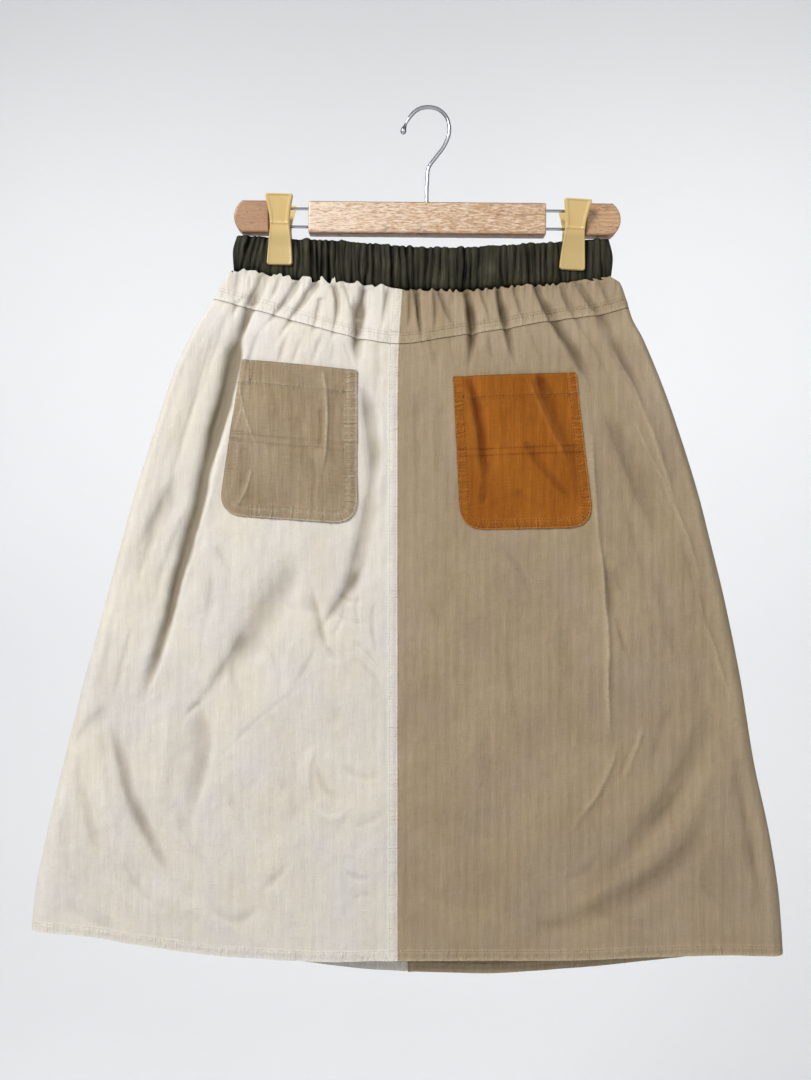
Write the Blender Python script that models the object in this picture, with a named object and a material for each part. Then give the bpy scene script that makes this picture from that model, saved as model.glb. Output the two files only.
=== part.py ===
"""Elastic-waist utility skirt, clipped to a wooden hanger, as solids for a shared parts library.

Everything is worked out in millimetres and stored in metres. +Z is up, +X is to the right of someone who looks at
the skirt's front, and the front faces -Y. The origin is the inside of the hook's crown, where a rail or peg holds it.

The skirt is a flattened tube. A place on it is given by u, which runs from -1 at the left side seam through 0 at the
centre seam to 1 at the right side seam, and by the height z. `depth` is how far the cloth's outer face stands from
the plane y = 0, forwards on the front and backwards on the back.
"""

import math
from collections import namedtuple

import bmesh
import bpy
import numpy as np

MM = 0.001  # metres in a millimetre

# ---------------------------------------------------------------- sizes

SEAM_GAP = 0.3  # between two pieces that are sewn together
CLOTH = 1.5  # thickness of a panel's wall
BAND_WALL = 2.0  # elastic and its casing, without the gathers
POCKET_CLOTH = 1.2
POCKET_LIFT = 0.45  # between a pocket and the panel that it lies on
HEM_WIDTH = 10.0
HEM_RAISE = 0.4  # the turned-up hem stands this much proud
HEM_MARGIN = 0.01  # so that the hem's own upper row counts as hem

GATHERS_PER_HALF = {"front": 12, "back": 7}
BAND_GATHERS_PER_HALF = {"front": 25, "back": 22}
GATHER_REACH = 0.965  # the gathers of a yoke end at this u, short of the side seam
BAND_GATHER_REACH = 0.975
GATHER_COLUMNS = 3  # points across one gather
GATHER_ROUND = 2.2  # power of a gather's rounded top: more is flatter
GATHER_RISE = 3.2  # how far a gather of the yoke puffs out
BAND_RISE = 1.7  # the same for the waistband
NARROWEST, WIDEST = 0.6, 1.5  # widths of the gathers, next to each other
SEED = 11

# Heights of the skirt's seams, from the left side seam to the right one. `band_top` and `band_foot` are the edges
# of the waistband, `pocket_top` and `pocket_foot` the rows on which the pockets start and end.
Across = namedtuple("Across", "u band_top band_foot yoke_seam pocket_top pocket_foot hem back_hem")
ACROSS = (
    Across(-1.00, -120.5, -152.5, -182.2, -232.0, -377.0, -777.0, -778.5),
    Across(-0.85, -121.8, -156.0, -188.6, -236.5, -381.0, -780.6, -783.5),
    Across(-0.69, -123.5, -160.0, -195.7, -241.0, -385.0, -789.1, -792.0),
    Across(-0.45, -125.8, -166.0, -208.0, -246.0, -391.5, -799.6, -804.5),
    Across(-0.17, -130.0, -171.5, -221.9, -252.0, -395.0, -804.0, -818.5),
    Across(0.00, -132.6, -174.4, -226.8, -256.0, -397.0, -803.0, -823.0),
    Across(0.20, -134.2, -175.0, -220.2, -257.8, -401.0, -803.1, -824.4),
    Across(0.45, -131.6, -171.8, -211.6, -256.0, -400.5, -802.8, -819.0),
    Across(0.65, -128.3, -168.0, -203.5, -254.0, -398.5, -800.4, -811.5),
    Across(0.85, -125.0, -165.5, -198.0, -251.0, -396.0, -798.9, -804.5),
    Across(1.00, -123.5, -162.0, -190.0, -249.0, -394.0, -800.5, -800.5),
)

# Sections of the skirt's tube: its side seams, how far its front and back stand out, and the length over which the
# cloth rolls over at the side seams.
Section = namedtuple("Section", "z left right front_seam front back roll")
SECTIONS = (
    Section(-150, -184.0, 170.0, -23.5, 9.0, 7.5, 4.5),
    Section(-160, -191.5, 173.5, -23.5, 9.5, 7.5, 5.0),
    Section(-166, -195.0, 182.0, -23.6, 10.5, 8.0, 5.0),
    Section(-180, -202.0, 187.6, -24.5, 12.0, 8.5, 6.0),
    Section(-200, -214.8, 193.4, -26.0, 13.5, 9.0, 7.0),
    Section(-220, -226.8, 203.6, -27.2, 15.0, 9.0, 8.0),
    Section(-256, -242.8, 219.1, -28.4, 16.0, 9.0, 9.0),
    Section(-295, -255.5, 233.4, -28.8, 16.5, 9.0, 9.5),
    Section(-370, -279.0, 257.0, -28.8, 16.5, 8.5, 11.0),
    Section(-408, -289.4, 266.6, -28.8, 16.5, 8.5, 12.0),
    Section(-465, -304.6, 280.6, -28.8, 16.0, 8.5, 13.0),
    Section(-541, -325.5, 296.0, -28.8, 15.5, 8.5, 14.0),
    Section(-617, -344.6, 308.3, -28.8, 15.0, 8.5, 15.0),
    Section(-693, -362.6, 324.5, -28.8, 14.0, 8.0, 15.0),
    Section(-750, -373.4, 333.0, -28.8, 13.0, 8.0, 15.0),
    Section(-825, -379.0, 338.0, -28.8, 12.0, 8.0, 15.0),
)
BAND_SEAM_X = -23.5  # where the front's centre seam meets the waistband
BACK_SEAM_X = -14.5
LEAST_DEPTH = 6.2  # a trough stops here, so that front and back stay apart
LEAST_DEPTH_AT_BAND = 3.0
SIDE_FULLNESS = 0.78  # depth near the side seams, as a share of that at the centre
BAND_STAND = 0.5  # how far the yokes stand out over the waistband's wall
BAND_SEAM_Z = -165.0  # rough height of the waistband's lower seam
SEAM_ROUNDS = 4  # rounds in which a point on that seam is found
MIDDLE_DROP = 60.0  # the band's pinched shape fades out over this height
FOLD_DROP = 25.0  # below the waistband, the folds reach their full depth over this height
GATHERS_START, GATHERS_GROW = 6.0, 14.0  # above the waistband's seam, and over this height
GATHERS_OVERRUN, GATHERS_FADE = 22.0, 95.0  # they start to fade above the yoke's seam, and over this height

# Half the gap between the waistband's front and back, which the two clips press together.
Pinch = namedtuple("Pinch", "x half_gap")
PINCHES = (
    Pinch(-190, 1.3),
    Pinch(-160, 0.7),
    Pinch(-152, 0.5),
    Pinch(-126, 0.5),
    Pinch(-100, 2.6),
    Pinch(-50, 5.5),
    Pinch(0, 6.4),
    Pinch(50, 5.5),
    Pinch(98, 2.6),
    Pinch(123, 0.5),
    Pinch(150, 0.5),
    Pinch(158, 0.7),
    Pinch(180, 1.3),
)

# The waistband's ends, at its top edge, middle and bottom edge.
BandEnd = namedtuple("BandEnd", "share left right")
BAND_ENDS = (
    BandEnd(0.0, -181.5, 171.5),
    BandEnd(0.5, -185.5, 175.5),
    BandEnd(1.0, -184.5, 173.5),
)
BAND_ROLL = 4.0
CLIP_REACH = 18.0  # to either side of a clip's middle, where it presses the waistband's gathers flat
CLIP_PRESS = 0.9  # share of the gathers' height that is pressed away there
BAND_EDGE_RISE = 0.8  # height of the gathers at the band's edges, as a share of that at its middle
BAND_SHARES = (0.0, 0.5, 1.0)  # rows of points, from the band's top edge down
BAND_LINING_INSET = 0.4  # how far the inner face keeps from the side ends, beyond the wall
BAND_END_COLUMNS = (0.975, 0.99)

# Folds. Each runs through three points (x, z) and reaches `width` to either side. `depth` is how far it sinks
# towards the body, and a fold with a negative depth is a ridge.
Fold = namedtuple("Fold", "x1 z1 x2 z2 x3 z3 width depth")
FRONT_FOLDS = (
    Fold(-158, -168, -170, -206, -179, -234, 7.0, 3.6),
    Fold(-176, -214, -184, -265, -195, -309, 9.0, 5.9),
    Fold(-191, -284, -210, -372, -233, -451, 7.0, 4.0),
    Fold(-226, -428, -250, -503, -277, -566, 7.0, 2.9),
    Fold(-294, -559, -277, -629, -250, -703, 7.0, 5.0),
    Fold(-264, -675, -250, -706, -231, -735, 7.0, 2.7),
    Fold(-67, -172, -67, -214, -63, -253, 7.0, 4.8),
    Fold(-64, -256, -53, -316, -54, -377, 7.0, 4.4),
    Fold(-51, -344, -62, -414, -84, -469, 7.0, 4.1),
    Fold(-111, -409, -155, -470, -208, -553, 9.5, 3.8),
    Fold(-78, -428, -92, -465, -118, -503, 8.0, 2.2),
    Fold(-298, -560, -319, -585, -345, -618, 7.0, 1.9),
    Fold(36, -177, 39, -214, 37, -253, 7.0, 3.4),
    Fold(39, -256, 49, -312, 53, -363, 7.0, 2.4),
    Fold(68, -176, 74, -214, 85, -253, 7.0, 2.9),
    Fold(105, -178, 130, -223, 160, -279, 7.0, 3.7),
    Fold(158, -277, 190, -344, 221, -428, 9.0, 3.2),
    Fold(147, -178, 177, -232, 202, -298, 7.0, 2.6),
    Fold(169, -223, 207, -307, 242, -409, 8.0, -2.3),
    Fold(151, -293, 156, -372, 160, -428, 7.0, -2.4),
    Fold(159, -417, 164, -456, 173, -503, 7.0, -2.6),
    Fold(168, -503, 166, -549, 171, -605, 7.0, -2.2),
    Fold(166, -428, 169, -458, 173, -495, 7.0, 2.6),
    Fold(173, -601, 158, -642, 119, -698, 7.0, -1.9),
    Fold(295, -549, 259, -619, 202, -678, 9.0, 3.4),
    Fold(208, -672, 164, -713, 123, -736, 8.0, 2.3),
    Fold(270, -666, 244, -708, 192, -743, 8.0, 3.2),
    Fold(197, -740, 132, -769, 61, -785, 8.0, 2.3),
    Fold(286, -601, 309, -666, 318, -740, 7.0, 1.9),
)
BACK_FOLDS = (
    Fold(-120, -175, -160, -330, -215, -560, 11.0, 4.0),
    Fold(-150, -190, -190, -330, -245, -540, 12.0, -2.0),
    Fold(-60, -172, -66, -260, -80, -420, 9.0, 4.0),
    Fold(50, -172, 60, -270, 64, -430, 10.0, 4.0),
    Fold(120, -176, 150, -300, 210, -500, 11.0, 4.0),
    Fold(150, -200, 190, -330, 245, -500, 12.0, -2.0),
    Fold(-270, -560, -240, -650, -180, -730, 12.0, 3.5),
    Fold(260, -560, 225, -650, 150, -725, 12.0, 3.5),
)
FOLD_STEPS = 12  # straight stretches that a fold's curve is measured on
FOLD_ENDS = (0.22, 0.25)  # shares of its length over which a fold grows and dies away

# Rows of points between two seams.
YOKE_ROWS = {"front": 3, "back": 2}
UPPER_ROWS = 2
POCKET_ROWS = {"front": 4, "back": 2}
LOWER_ROWS = {"front": 8, "back": 4}
SIDE_COLUMNS = (0.9955, 0.985, 0.965)  # extra columns where the cloth rolls over
SLOPE_STEP = 1e-6  # step in u over which the cloth's slope is measured

# Pockets: their corners, before the lower ones are rounded.
Pocket = namedtuple("Pocket", "name material top_left top_right foot_right foot_left radius")
POCKETS = (
    Pocket("pocket_left", "khaki", (-174.6, -240.8), (-66.8, -251.6), (-66.4, -394.6), (-196.0, -385.7), 24),
    Pocket("pocket_right", "rust", (22.8, -257.6), (137.4, -253.4), (153.5, -397.3), (30.0, -400.2), 24),
)
CORNER_STEPS = 5
POCKET_MARGINS = (16.0, 75.0, 40.0)  # part of the panel that a pocket is cut from: beside, below and above it
POCKET_CUT_FRONT = -60.0  # y of the cutter's front end
END_STEPS = 10
OVERSHOOT = 5.0  # by which a cutter starts outside the wood

# Hanger. It hangs a little askew, with its right end low.
HANGER_TILT = 0.5  # degrees
HANGER_MIDDLE = (-0.7, 0.0, -105.5)
WOOD_THICKNESS = 12.0
WOOD_EDGE = 1.2  # rounding of the wood's edges
BAR_LEFT, BAR_RIGHT = -112.4, 112.2  # these and the sizes below are measured from the hanger's middle
BAR_TOP, BAR_FOOT = 15.2, -15.1
END_TOP, END_FOOT = 15.3, -15.1
END_INNER = 149.6
END_OUTER = 182.6
END_ROUND = 18.6  # radius of an end piece's outer end
ROD_RADIUS = 1.3
ROD_HEIGHTS = {"upper": 9.6, "lower": -7.6}
ROD_DEPTH_IN_WOOD = 10.0
HOLE_CLEARANCE = 0.3
WIRE_RADIUS = 1.75
WIRE_BEVEL = 2  # fineness of the wire's round section
SHANK_HOLE = 34.0  # length of the hook's hole, which runs out of the bar's top
ROD_SIDES, SPRING_SIDES = 12, 16
SMOOTH_ANGLE, BEVEL_ANGLE, JAW_BEVEL_ANGLE = 40, 40, 60  # degrees

# The hook's wire, from the wood up and round to its tip.
Bend = namedtuple("Bend", "x z thickness")
HOOK = (
    Bend(-0.8, -106.5, 1.0),
    Bend(-0.8, -70.0, 1.0),
    Bend(0.9, -55.2, 1.0),
    Bend(7.6, -45.8, 1.0),
    Bend(15.8, -34.4, 1.0),
    Bend(20.3, -21.5, 1.0),
    Bend(17.2, -7.2, 1.0),
    Bend(9.0, 0.0, 1.0),
    Bend(0.0, 1.75, 1.0),
    Bend(-8.6, 0.0, 1.0),
    Bend(-16.9, -7.2, 1.0),
    Bend(-22.2, -17.2, 1.0),
    Bend(-23.0, -19.4, 1.45),
    Bend(-23.4, -21.1, 1.6),
    Bend(-23.8, -22.8, 1.3),
    Bend(-24.0, -23.8, 0.5),
)
HOOK_STEPS = 3  # straight stretches between two bends

# A clip's jaw, from the top of its handle to its tip: height below the handle's top, half width, how far its inner
# face stands from y = 0, and its thickness.
Jaw = namedtuple("Jaw", "drop half_width inner thickness")
JAW = (
    Jaw(0.0, 12.2, 13.8, 2.4),
    Jaw(1.2, 12.9, 13.6, 2.4),
    Jaw(10.0, 11.3, 11.2, 2.4),
    Jaw(20.5, 9.6, 7.6, 2.8),
    Jaw(26.5, 9.4, 6.0, 2.8),
    Jaw(37.0, 10.4, 4.6, 2.2),
    Jaw(48.0, 11.4, 3.4, 2.2),
    Jaw(61.4, 12.2, 3.4, 2.2),
    Jaw(63.4, 10.8, 3.4, 2.2),
)
JAW_EDGE = 0.5  # rounding of a jaw's edges
Clip = namedtuple("Clip", "name x z tilt")
CLIPS = (
    Clip("clip_left", -139.3, -86.1, 1.0),
    Clip("clip_right", 139.8, -91.1, 3.4),
)
SPRING_RADIUS = 6.3
SPRING_LENGTH = 13.0

COLOURS = {
    "cream": ((0.76, 0.71, 0.63), 0.9, 0.0),
    "khaki": ((0.43, 0.35, 0.25), 0.9, 0.0),
    "rust": ((0.45, 0.19, 0.04), 0.9, 0.0),
    "olive": ((0.08, 0.08, 0.055), 0.6, 0.0),
    "wood": ((0.62, 0.43, 0.30), 0.5, 0.0),
    "clip_plastic": ((0.80, 0.66, 0.34), 0.35, 0.0),
    "steel": ((0.60, 0.60, 0.62), 0.25, 1.0),
}


# ---------------------------------------------------------------- curves


def curve(xs, ys, x, slope_at):
    """Value at x of a curve through the points (xs, ys); slope_at gives its slopes at the points between the ends."""
    xs, ys, x = (np.asarray(a, float) for a in (xs, ys, x))
    step = np.diff(xs)
    slope = np.diff(ys) / step
    ends = np.concatenate([slope[:1], slope_at(slope, step), slope[-1:]])
    i = np.clip(np.searchsorted(xs, x) - 1, 0, len(step) - 1)
    t = np.clip((x - xs[i]) / step[i], 0, 1)
    rise = ys[i + 1] - ys[i]
    start, end = ends[i] * step[i], ends[i + 1] * step[i]
    return ys[i] + t * (start + t * ((3 * rise - 2 * start - end) + t * (start + end - 2 * rise)))


def calm_slope(slope, _step):
    """Slopes of a curve that doesn't overshoot between its points."""
    before, after = slope[:-1], slope[1:]
    same_way = before * after > 0
    safe = np.where(same_way, before + after, 1.0)
    return np.where(same_way, 2 * before * after / safe, 0.0)


def round_slope(slope, step):
    """Slopes of a rounded curve, which may swing out a little between its points."""
    return (slope[:-1] * step[1:] + slope[1:] * step[:-1]) / (step[:-1] + step[1:])


def smooth(xs, ys, x):
    """Value at x of a curve through the points (xs, ys), with no overshoot between them."""
    return curve(xs, ys, x, calm_slope)


def column(table, name):
    """One column of a table of named rows."""
    return [getattr(row, name) for row in table]


def across(name, u):
    """Height of the seam called name, at u."""
    return smooth(column(ACROSS, "u"), column(ACROSS, name), u)


def section(name, z):
    """A measure of the skirt's tube at height z."""
    rising = SECTIONS[::-1]
    return smooth(column(rising, "z"), column(rising, name), z)


def ease(t):
    """0 before t = 0, 1 after t = 1, and smooth between."""
    t = np.clip(t, 0, 1)
    return t * t * (3 - 2 * t)


def quarter_round(distance, length):
    """0 at an edge, 1 at `length` from it, along a quarter of an ellipse."""
    return np.sqrt(np.clip(1 - (1 - np.clip(distance / length, 0, 1)) ** 2, 0, 1))


# ---------------------------------------------------------------- the cloth's surface


def gather_edges(side, half, counts, reach):
    """Values of u at which the gathers of one half meet: uneven, and the same at each run."""
    count = counts[side]
    seed = SEED + 2 * count + (half > 0) + 5 * (side == "back")
    widths = np.random.RandomState(seed).uniform(NARROWEST, WIDEST, count)
    edges = np.concatenate([[0.0], np.cumsum(widths)]) / widths.sum() * reach
    return half * edges


def gather_height(u, side, counts, reach):
    """How high the gathers stand at u, from 0 in the creases between them to 1 on top."""
    u = np.asarray(u, float)
    height = np.zeros_like(u)
    for half in (-1, 1):
        edges = np.abs(gather_edges(side, half, counts, reach))
        place = np.abs(u)
        i = np.clip(np.searchsorted(edges, place) - 1, 0, len(edges) - 2)
        share = np.clip((place - edges[i]) / (edges[i + 1] - edges[i]), 0, 1)
        bump = 1 - np.abs(2 * share - 1) ** GATHER_ROUND
        height = np.where(np.sign(u) == half, bump, height)
    return height


def fold_sink(folds, x, z):
    """How far all the folds together sink the surface at (x, z)."""
    sink = np.zeros_like(x)
    t = np.linspace(0, 1, FOLD_STEPS + 1)
    for fold in folds:
        bend_x = 2 * fold.x2 - (fold.x1 + fold.x3) / 2
        bend_z = 2 * fold.z2 - (fold.z1 + fold.z3) / 2
        px = (1 - t) ** 2 * fold.x1 + 2 * t * (1 - t) * bend_x + t**2 * fold.x3
        pz = (1 - t) ** 2 * fold.z1 + 2 * t * (1 - t) * bend_z + t**2 * fold.z3
        nearest = np.full(x.shape, np.inf)
        along = np.zeros_like(x)
        for i in range(FOLD_STEPS):
            dx, dz = px[i + 1] - px[i], pz[i + 1] - pz[i]
            s = np.clip(((x - px[i]) * dx + (z - pz[i]) * dz) / (dx * dx + dz * dz), 0, 1)
            away = np.hypot(x - px[i] - s * dx, z - pz[i] - s * dz)
            closer = away < nearest
            along = np.where(closer, (i + s) / FOLD_STEPS, along)
            nearest = np.where(closer, away, nearest)
        fade = ease(along / FOLD_ENDS[0]) * ease((1 - along) / FOLD_ENDS[1])
        sink += fold.depth * fade * np.exp(-((nearest / fold.width) ** 2))
    return sink


def half_gap(x):
    """Half the gap between the waistband's front and back at x."""
    return smooth(column(PINCHES, "x"), column(PINCHES, "half_gap"), x)


def seam_x(side, z):
    """Where the centre seam of that side hangs, at height z."""
    return section("front_seam", z) if side == "front" else np.full(np.shape(z), BACK_SEAM_X)


def place_x(side, u, z):
    """x of the point at u on a section at height z."""
    middle = seam_x(side, z)
    left, right = section("left", z), section("right", z)
    return np.where(u < 0, middle + (middle - left) * u, middle + (right - middle) * u)


def band_seam(x):
    """Height at x of the seam between the waistband and the yokes."""
    left, right = section("left", BAND_SEAM_Z), section("right", BAND_SEAM_Z)
    reach = np.where(x < BAND_SEAM_X, BAND_SEAM_X - left, right - BAND_SEAM_X)
    return across("band_foot", np.clip((x - BAND_SEAM_X) / reach, -1, 1))


def yoke_top(side, u):
    """Height at u of the upper edge of a yoke, where it meets the waistband."""
    z = np.full(np.shape(u), BAND_SEAM_Z)
    for _ in range(SEAM_ROUNDS):
        z = band_seam(place_x(side, u, z))
    return z


def cloth_depth(side, u, z):
    """How far the cloth's outer face stands from y = 0."""
    u, z = np.broadcast_arrays(np.asarray(u, float), np.asarray(z, float))
    x = place_x(side, u, z)
    top = yoke_top(side, u)
    seam = across("yoke_seam", u)
    below = ease((top - z) / MIDDLE_DROP)
    full = section(side, z) * (SIDE_FULLNESS + (1 - SIDE_FULLNESS) * np.cos(u * math.pi / 2))
    depth = (half_gap(x) + BAND_WALL + BAND_STAND) * (1 - below) + full * below
    folds = FRONT_FOLDS if side == "front" else BACK_FOLDS
    depth = depth - fold_sink(folds, x, z) * ease((top - z) / FOLD_DROP)
    depth = np.maximum(depth, np.where(below > 0.5, LEAST_DEPTH, LEAST_DEPTH_AT_BAND))
    fade = ease((top - z + GATHERS_START) / GATHERS_GROW)
    fade = fade * (1 - ease((seam - z + GATHERS_OVERRUN) / GATHERS_FADE))
    depth = depth + GATHER_RISE * fade * gather_height(u, side, GATHERS_PER_HALF, GATHER_REACH)
    hem = across("hem" if side == "front" else "back_hem", u)
    depth = depth + HEM_RAISE * (z < hem + HEM_WIDTH + HEM_MARGIN)
    edge = np.abs(x - np.where(u < 0, section("left", z), section("right", z)))
    return SEAM_GAP / 2 + depth * quarter_round(edge, section("roll", z))


def cloth_point(side, u, z):
    """Outer points of the cloth, as an array whose last axis is x, y, z."""
    u, z = np.broadcast_arrays(np.asarray(u, float), np.asarray(z, float))
    facing = -1 if side == "front" else 1
    return np.stack([place_x(side, u, z), facing * cloth_depth(side, u, z), z], -1)


def cloth_normal(side, u, z):
    """Outward level directions of the cloth, by which its wall is given its thickness."""
    u, z = np.broadcast_arrays(np.asarray(u, float), np.asarray(z, float))
    after = cloth_point(side, np.minimum(u + SLOPE_STEP, 1), z)
    before = cloth_point(side, np.maximum(u - SLOPE_STEP, -1), z)
    along = after - before
    facing = -1 if side == "front" else 1
    normal = np.stack([-facing * along[..., 1], facing * along[..., 0], np.zeros_like(u)], -1)
    return normal / np.linalg.norm(normal, axis=-1, keepdims=True)


# ---------------------------------------------------------------- solids from points


def new_object(name, vertices, faces, material):
    """A mesh object from points in millimetres."""
    mesh = bpy.data.meshes.new(name)
    mesh.from_pydata([tuple(float(c) * MM for c in v) for v in vertices], [], faces)
    mesh.validate()
    bm = bmesh.new()
    bm.from_mesh(mesh)
    bmesh.ops.recalc_face_normals(bm, faces=bm.faces)
    bm.to_mesh(mesh)
    bm.free()
    mesh.shade_smooth()
    mesh.set_sharp_from_angle(angle=math.radians(SMOOTH_ANGLE))
    obj = bpy.data.objects.new(name, mesh)
    bpy.context.scene.collection.objects.link(obj)
    if material:
        obj.data.materials.append(MATERIALS[material])
    return obj


def prism_faces(count):
    """Faces between two outlines of `count` points each, and over both of them."""
    faces = [tuple(range(count)), tuple(range(2 * count - 1, count - 1, -1))]
    return faces + [(i, (i + 1) % count, count + (i + 1) % count, count + i) for i in range(count)]


def wall(name, outer, inner, material, ring=False):
    """A closed wall between two grids of points. A ring's last column joins its first."""
    rows, columns = outer.shape[:2]
    count = rows * columns
    vertices = list(outer.reshape(-1, 3)) + list(inner.reshape(-1, 3))
    faces = []

    def quad(a, b, c, d):
        faces.extend([(a, b, c), (a, c, d)])

    for c in range(columns if ring else columns - 1):
        d = (c + 1) % columns
        for r in range(rows - 1):
            here, right = r * columns + c, r * columns + d
            below, across_below = here + columns, right + columns
            quad(here, below, across_below, right)
            quad(count + here, count + right, count + across_below, count + below)
        last = (rows - 1) * columns
        quad(c, d, count + d, count + c)
        quad(last + c, count + last + c, count + last + d, last + d)
    if not ring:
        for r in range(rows - 1):
            for c, turned in ((0, False), (columns - 1, True)):
                a, b = r * columns + c, (r + 1) * columns + c
                if turned:
                    a, b = b, a
                quad(a, count + a, count + b, b)
    return new_object(name, vertices, faces, material)


def half_columns(side, half):
    """Values of u for one half's columns: the gathers' creases and tops, and the roll at the side seam."""
    edges = gather_edges(side, half, GATHERS_PER_HALF, GATHER_REACH)
    inside = []
    for start, end in zip(edges[:-1], edges[1:]):
        inside += [start + (end - start) * k / GATHER_COLUMNS for k in range(GATHER_COLUMNS)]
    return np.array(sorted(inside + [half * v for v in SIDE_COLUMNS] + [half * 1.0]))


def rows_between(first, last, count):
    """The rows from one seam to another, with the last one left out."""
    return [first + (last - first) * k / count for k in range(count)]


def panel_grid(side, u):
    """Heights of a panel's points: a row for each step down, a column for each u."""
    hem = across("hem" if side == "front" else "back_hem", u)
    yoke, top, foot = (across(n, u) for n in ("yoke_seam", "pocket_top", "pocket_foot"))
    rows = rows_between(yoke - SEAM_GAP / 2, top, UPPER_ROWS)
    rows += rows_between(top, foot, POCKET_ROWS[side])
    rows += rows_between(foot, hem + HEM_WIDTH, LOWER_ROWS[side])
    return np.array(rows + [hem + HEM_WIDTH, hem])


def yoke_grid(side, u):
    """Heights of a yoke's points."""
    top = yoke_top(side, u) - SEAM_GAP
    foot = across("yoke_seam", u) + SEAM_GAP / 2
    return np.array(rows_between(top, foot, YOKE_ROWS[side]) + [foot])


def cloth_grids(side, half, heights):
    """Outer points and outward directions of a grid, kept clear of the centre seam."""
    u = half_columns(side, half)
    z = heights(side, u)
    u = np.broadcast_to(u, z.shape)
    points, normals = cloth_point(side, u, z), cloth_normal(side, u, z)
    points = points.copy()
    at_seam = u == 0
    points[..., 0] += np.where(at_seam, half * SEAM_GAP / 2, 0)
    return points, normals


def make_cloth(side, half, heights, name):
    """One panel or yoke."""
    outer, normals = cloth_grids(side, half, heights)
    material = "cream" if half < 0 else "khaki"
    return wall(name, outer, outer - CLOTH * normals, material)


# ---------------------------------------------------------------- waistband


def band_columns(side):
    """Values of u along one face of the waistband, from left to right."""
    values = []
    for half in (-1, 1):
        edges = gather_edges(side, half, BAND_GATHERS_PER_HALF, BAND_GATHER_REACH)
        for start, end in zip(edges[:-1], edges[1:]):
            values += [start + (end - start) * k / GATHER_COLUMNS for k in range(GATHER_COLUMNS)]
    values += [sign * v for sign in (-1, 1) for v in BAND_END_COLUMNS]
    return np.array(sorted(set(values)))


def band_points(side, u, share, inside):
    """Points of the waistband at u, `share` of the way from its top edge to its bottom edge."""
    facing = -1 if side == "front" else 1
    left, right = (smooth(column(BAND_ENDS, "share"), column(BAND_ENDS, n), share) for n in ("left", "right"))
    inset = BAND_WALL + BAND_LINING_INSET if inside else 0.0
    reach = np.where(u < 0, BAND_SEAM_X - left, right - BAND_SEAM_X) - inset
    x = BAND_SEAM_X + reach * u
    z = across("band_top", u) * (1 - share) + band_seam(x) * share
    depth = half_gap(x)
    if not inside:
        pressed = sum(np.exp(-(((x - clip.x) / CLIP_REACH) ** 6)) for clip in CLIPS)
        middle = math.sin(math.pi * share)
        rise = BAND_RISE * (BAND_EDGE_RISE + (1 - BAND_EDGE_RISE) * middle) * (1 - CLIP_PRESS * pressed)
        depth = depth + BAND_WALL + rise * gather_height(u, side, BAND_GATHERS_PER_HALF, BAND_GATHER_REACH)
    roll = BAND_ROLL - (BAND_WALL if inside else 0)
    depth = depth * quarter_round(reach * (1 - np.abs(u)), roll)
    return np.stack([x, facing * depth, z], -1)


def make_band():
    """The waistband, one ring: plain inside, gathered outside."""
    front, back = band_columns("front"), band_columns("back")[::-1]
    outer, inner = [], []
    for share in BAND_SHARES:
        for grid, inside in ((outer, False), (inner, True)):
            ends = [band_points("front", np.array([sign * 1.0]), share, inside) for sign in (-1, 1)]
            face = band_points("front", front, share, inside)
            reverse = band_points("back", back, share, inside)
            grid.append(np.concatenate([ends[0], face, ends[1], reverse]))
    return wall("waistband", np.array(outer), np.array(inner), "olive", ring=True)


# ---------------------------------------------------------------- pockets


def pocket_outline(pocket):
    """Corners of a pocket as (x, z), with its two lower ones rounded."""
    corners = [np.array(c, float) for c in pocket[2:6]]
    points = [corners[0], corners[1]]
    for i in (2, 3):
        corner, before, after = corners[i], corners[i - 1], corners[(i + 1) % 4]
        to_before = (before - corner) / np.linalg.norm(before - corner)
        to_after = (after - corner) / np.linalg.norm(after - corner)
        start, end = corner + pocket.radius * to_before, corner + pocket.radius * to_after
        for k in range(CORNER_STEPS + 1):
            t = k / CORNER_STEPS
            points.append((1 - t) ** 2 * start + 2 * t * (1 - t) * corner + t * t * end)
    return points


def make_pocket(pocket):
    """A patch pocket: the panel's own points moved out, cut to the pocket's outline."""
    half = -1 if pocket.top_left[0] < BAND_SEAM_X else 1
    points, normals = cloth_grids("front", half, panel_grid)
    outline = pocket_outline(pocket)
    xs, zs = [p[0] for p in outline], [p[1] for p in outline]
    beside, below, above = POCKET_MARGINS
    near = (points[..., 0] > min(xs) - beside) & (points[..., 0] < max(xs) + beside)
    near &= (points[..., 2] > min(zs) - below) & (points[..., 2] < max(zs) + above)
    rows, columns = np.where(near.any(1))[0], np.where(near.any(0))[0]
    block = np.ix_(range(rows.min(), rows.max() + 1), range(columns.min(), columns.max() + 1))
    points, normals = points[block], normals[block]
    inner = points + POCKET_LIFT * normals
    outer = points + (POCKET_LIFT + POCKET_CLOTH) * normals
    blank = wall(pocket.name, outer, inner, pocket.material)
    prism = [(p[0], y, p[1]) for y in (POCKET_CUT_FRONT, 0.0) for p in outline]
    cutter = new_object(pocket.name + "_outline", prism, prism_faces(len(outline)), None)
    cut(blank, cutter, "INTERSECT")
    return blank


def cut(target, cutter, operation="DIFFERENCE"):
    """Cuts target with a cutter, which isn't part of the model."""
    cutter.hide_render = True
    cutter.display_type = "WIRE"
    modifier = target.modifiers.new(cutter.name, "BOOLEAN")
    modifier.operation = operation
    modifier.solver = "EXACT"
    modifier.object = cutter
    return cutter


# ---------------------------------------------------------------- hanger


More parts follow.
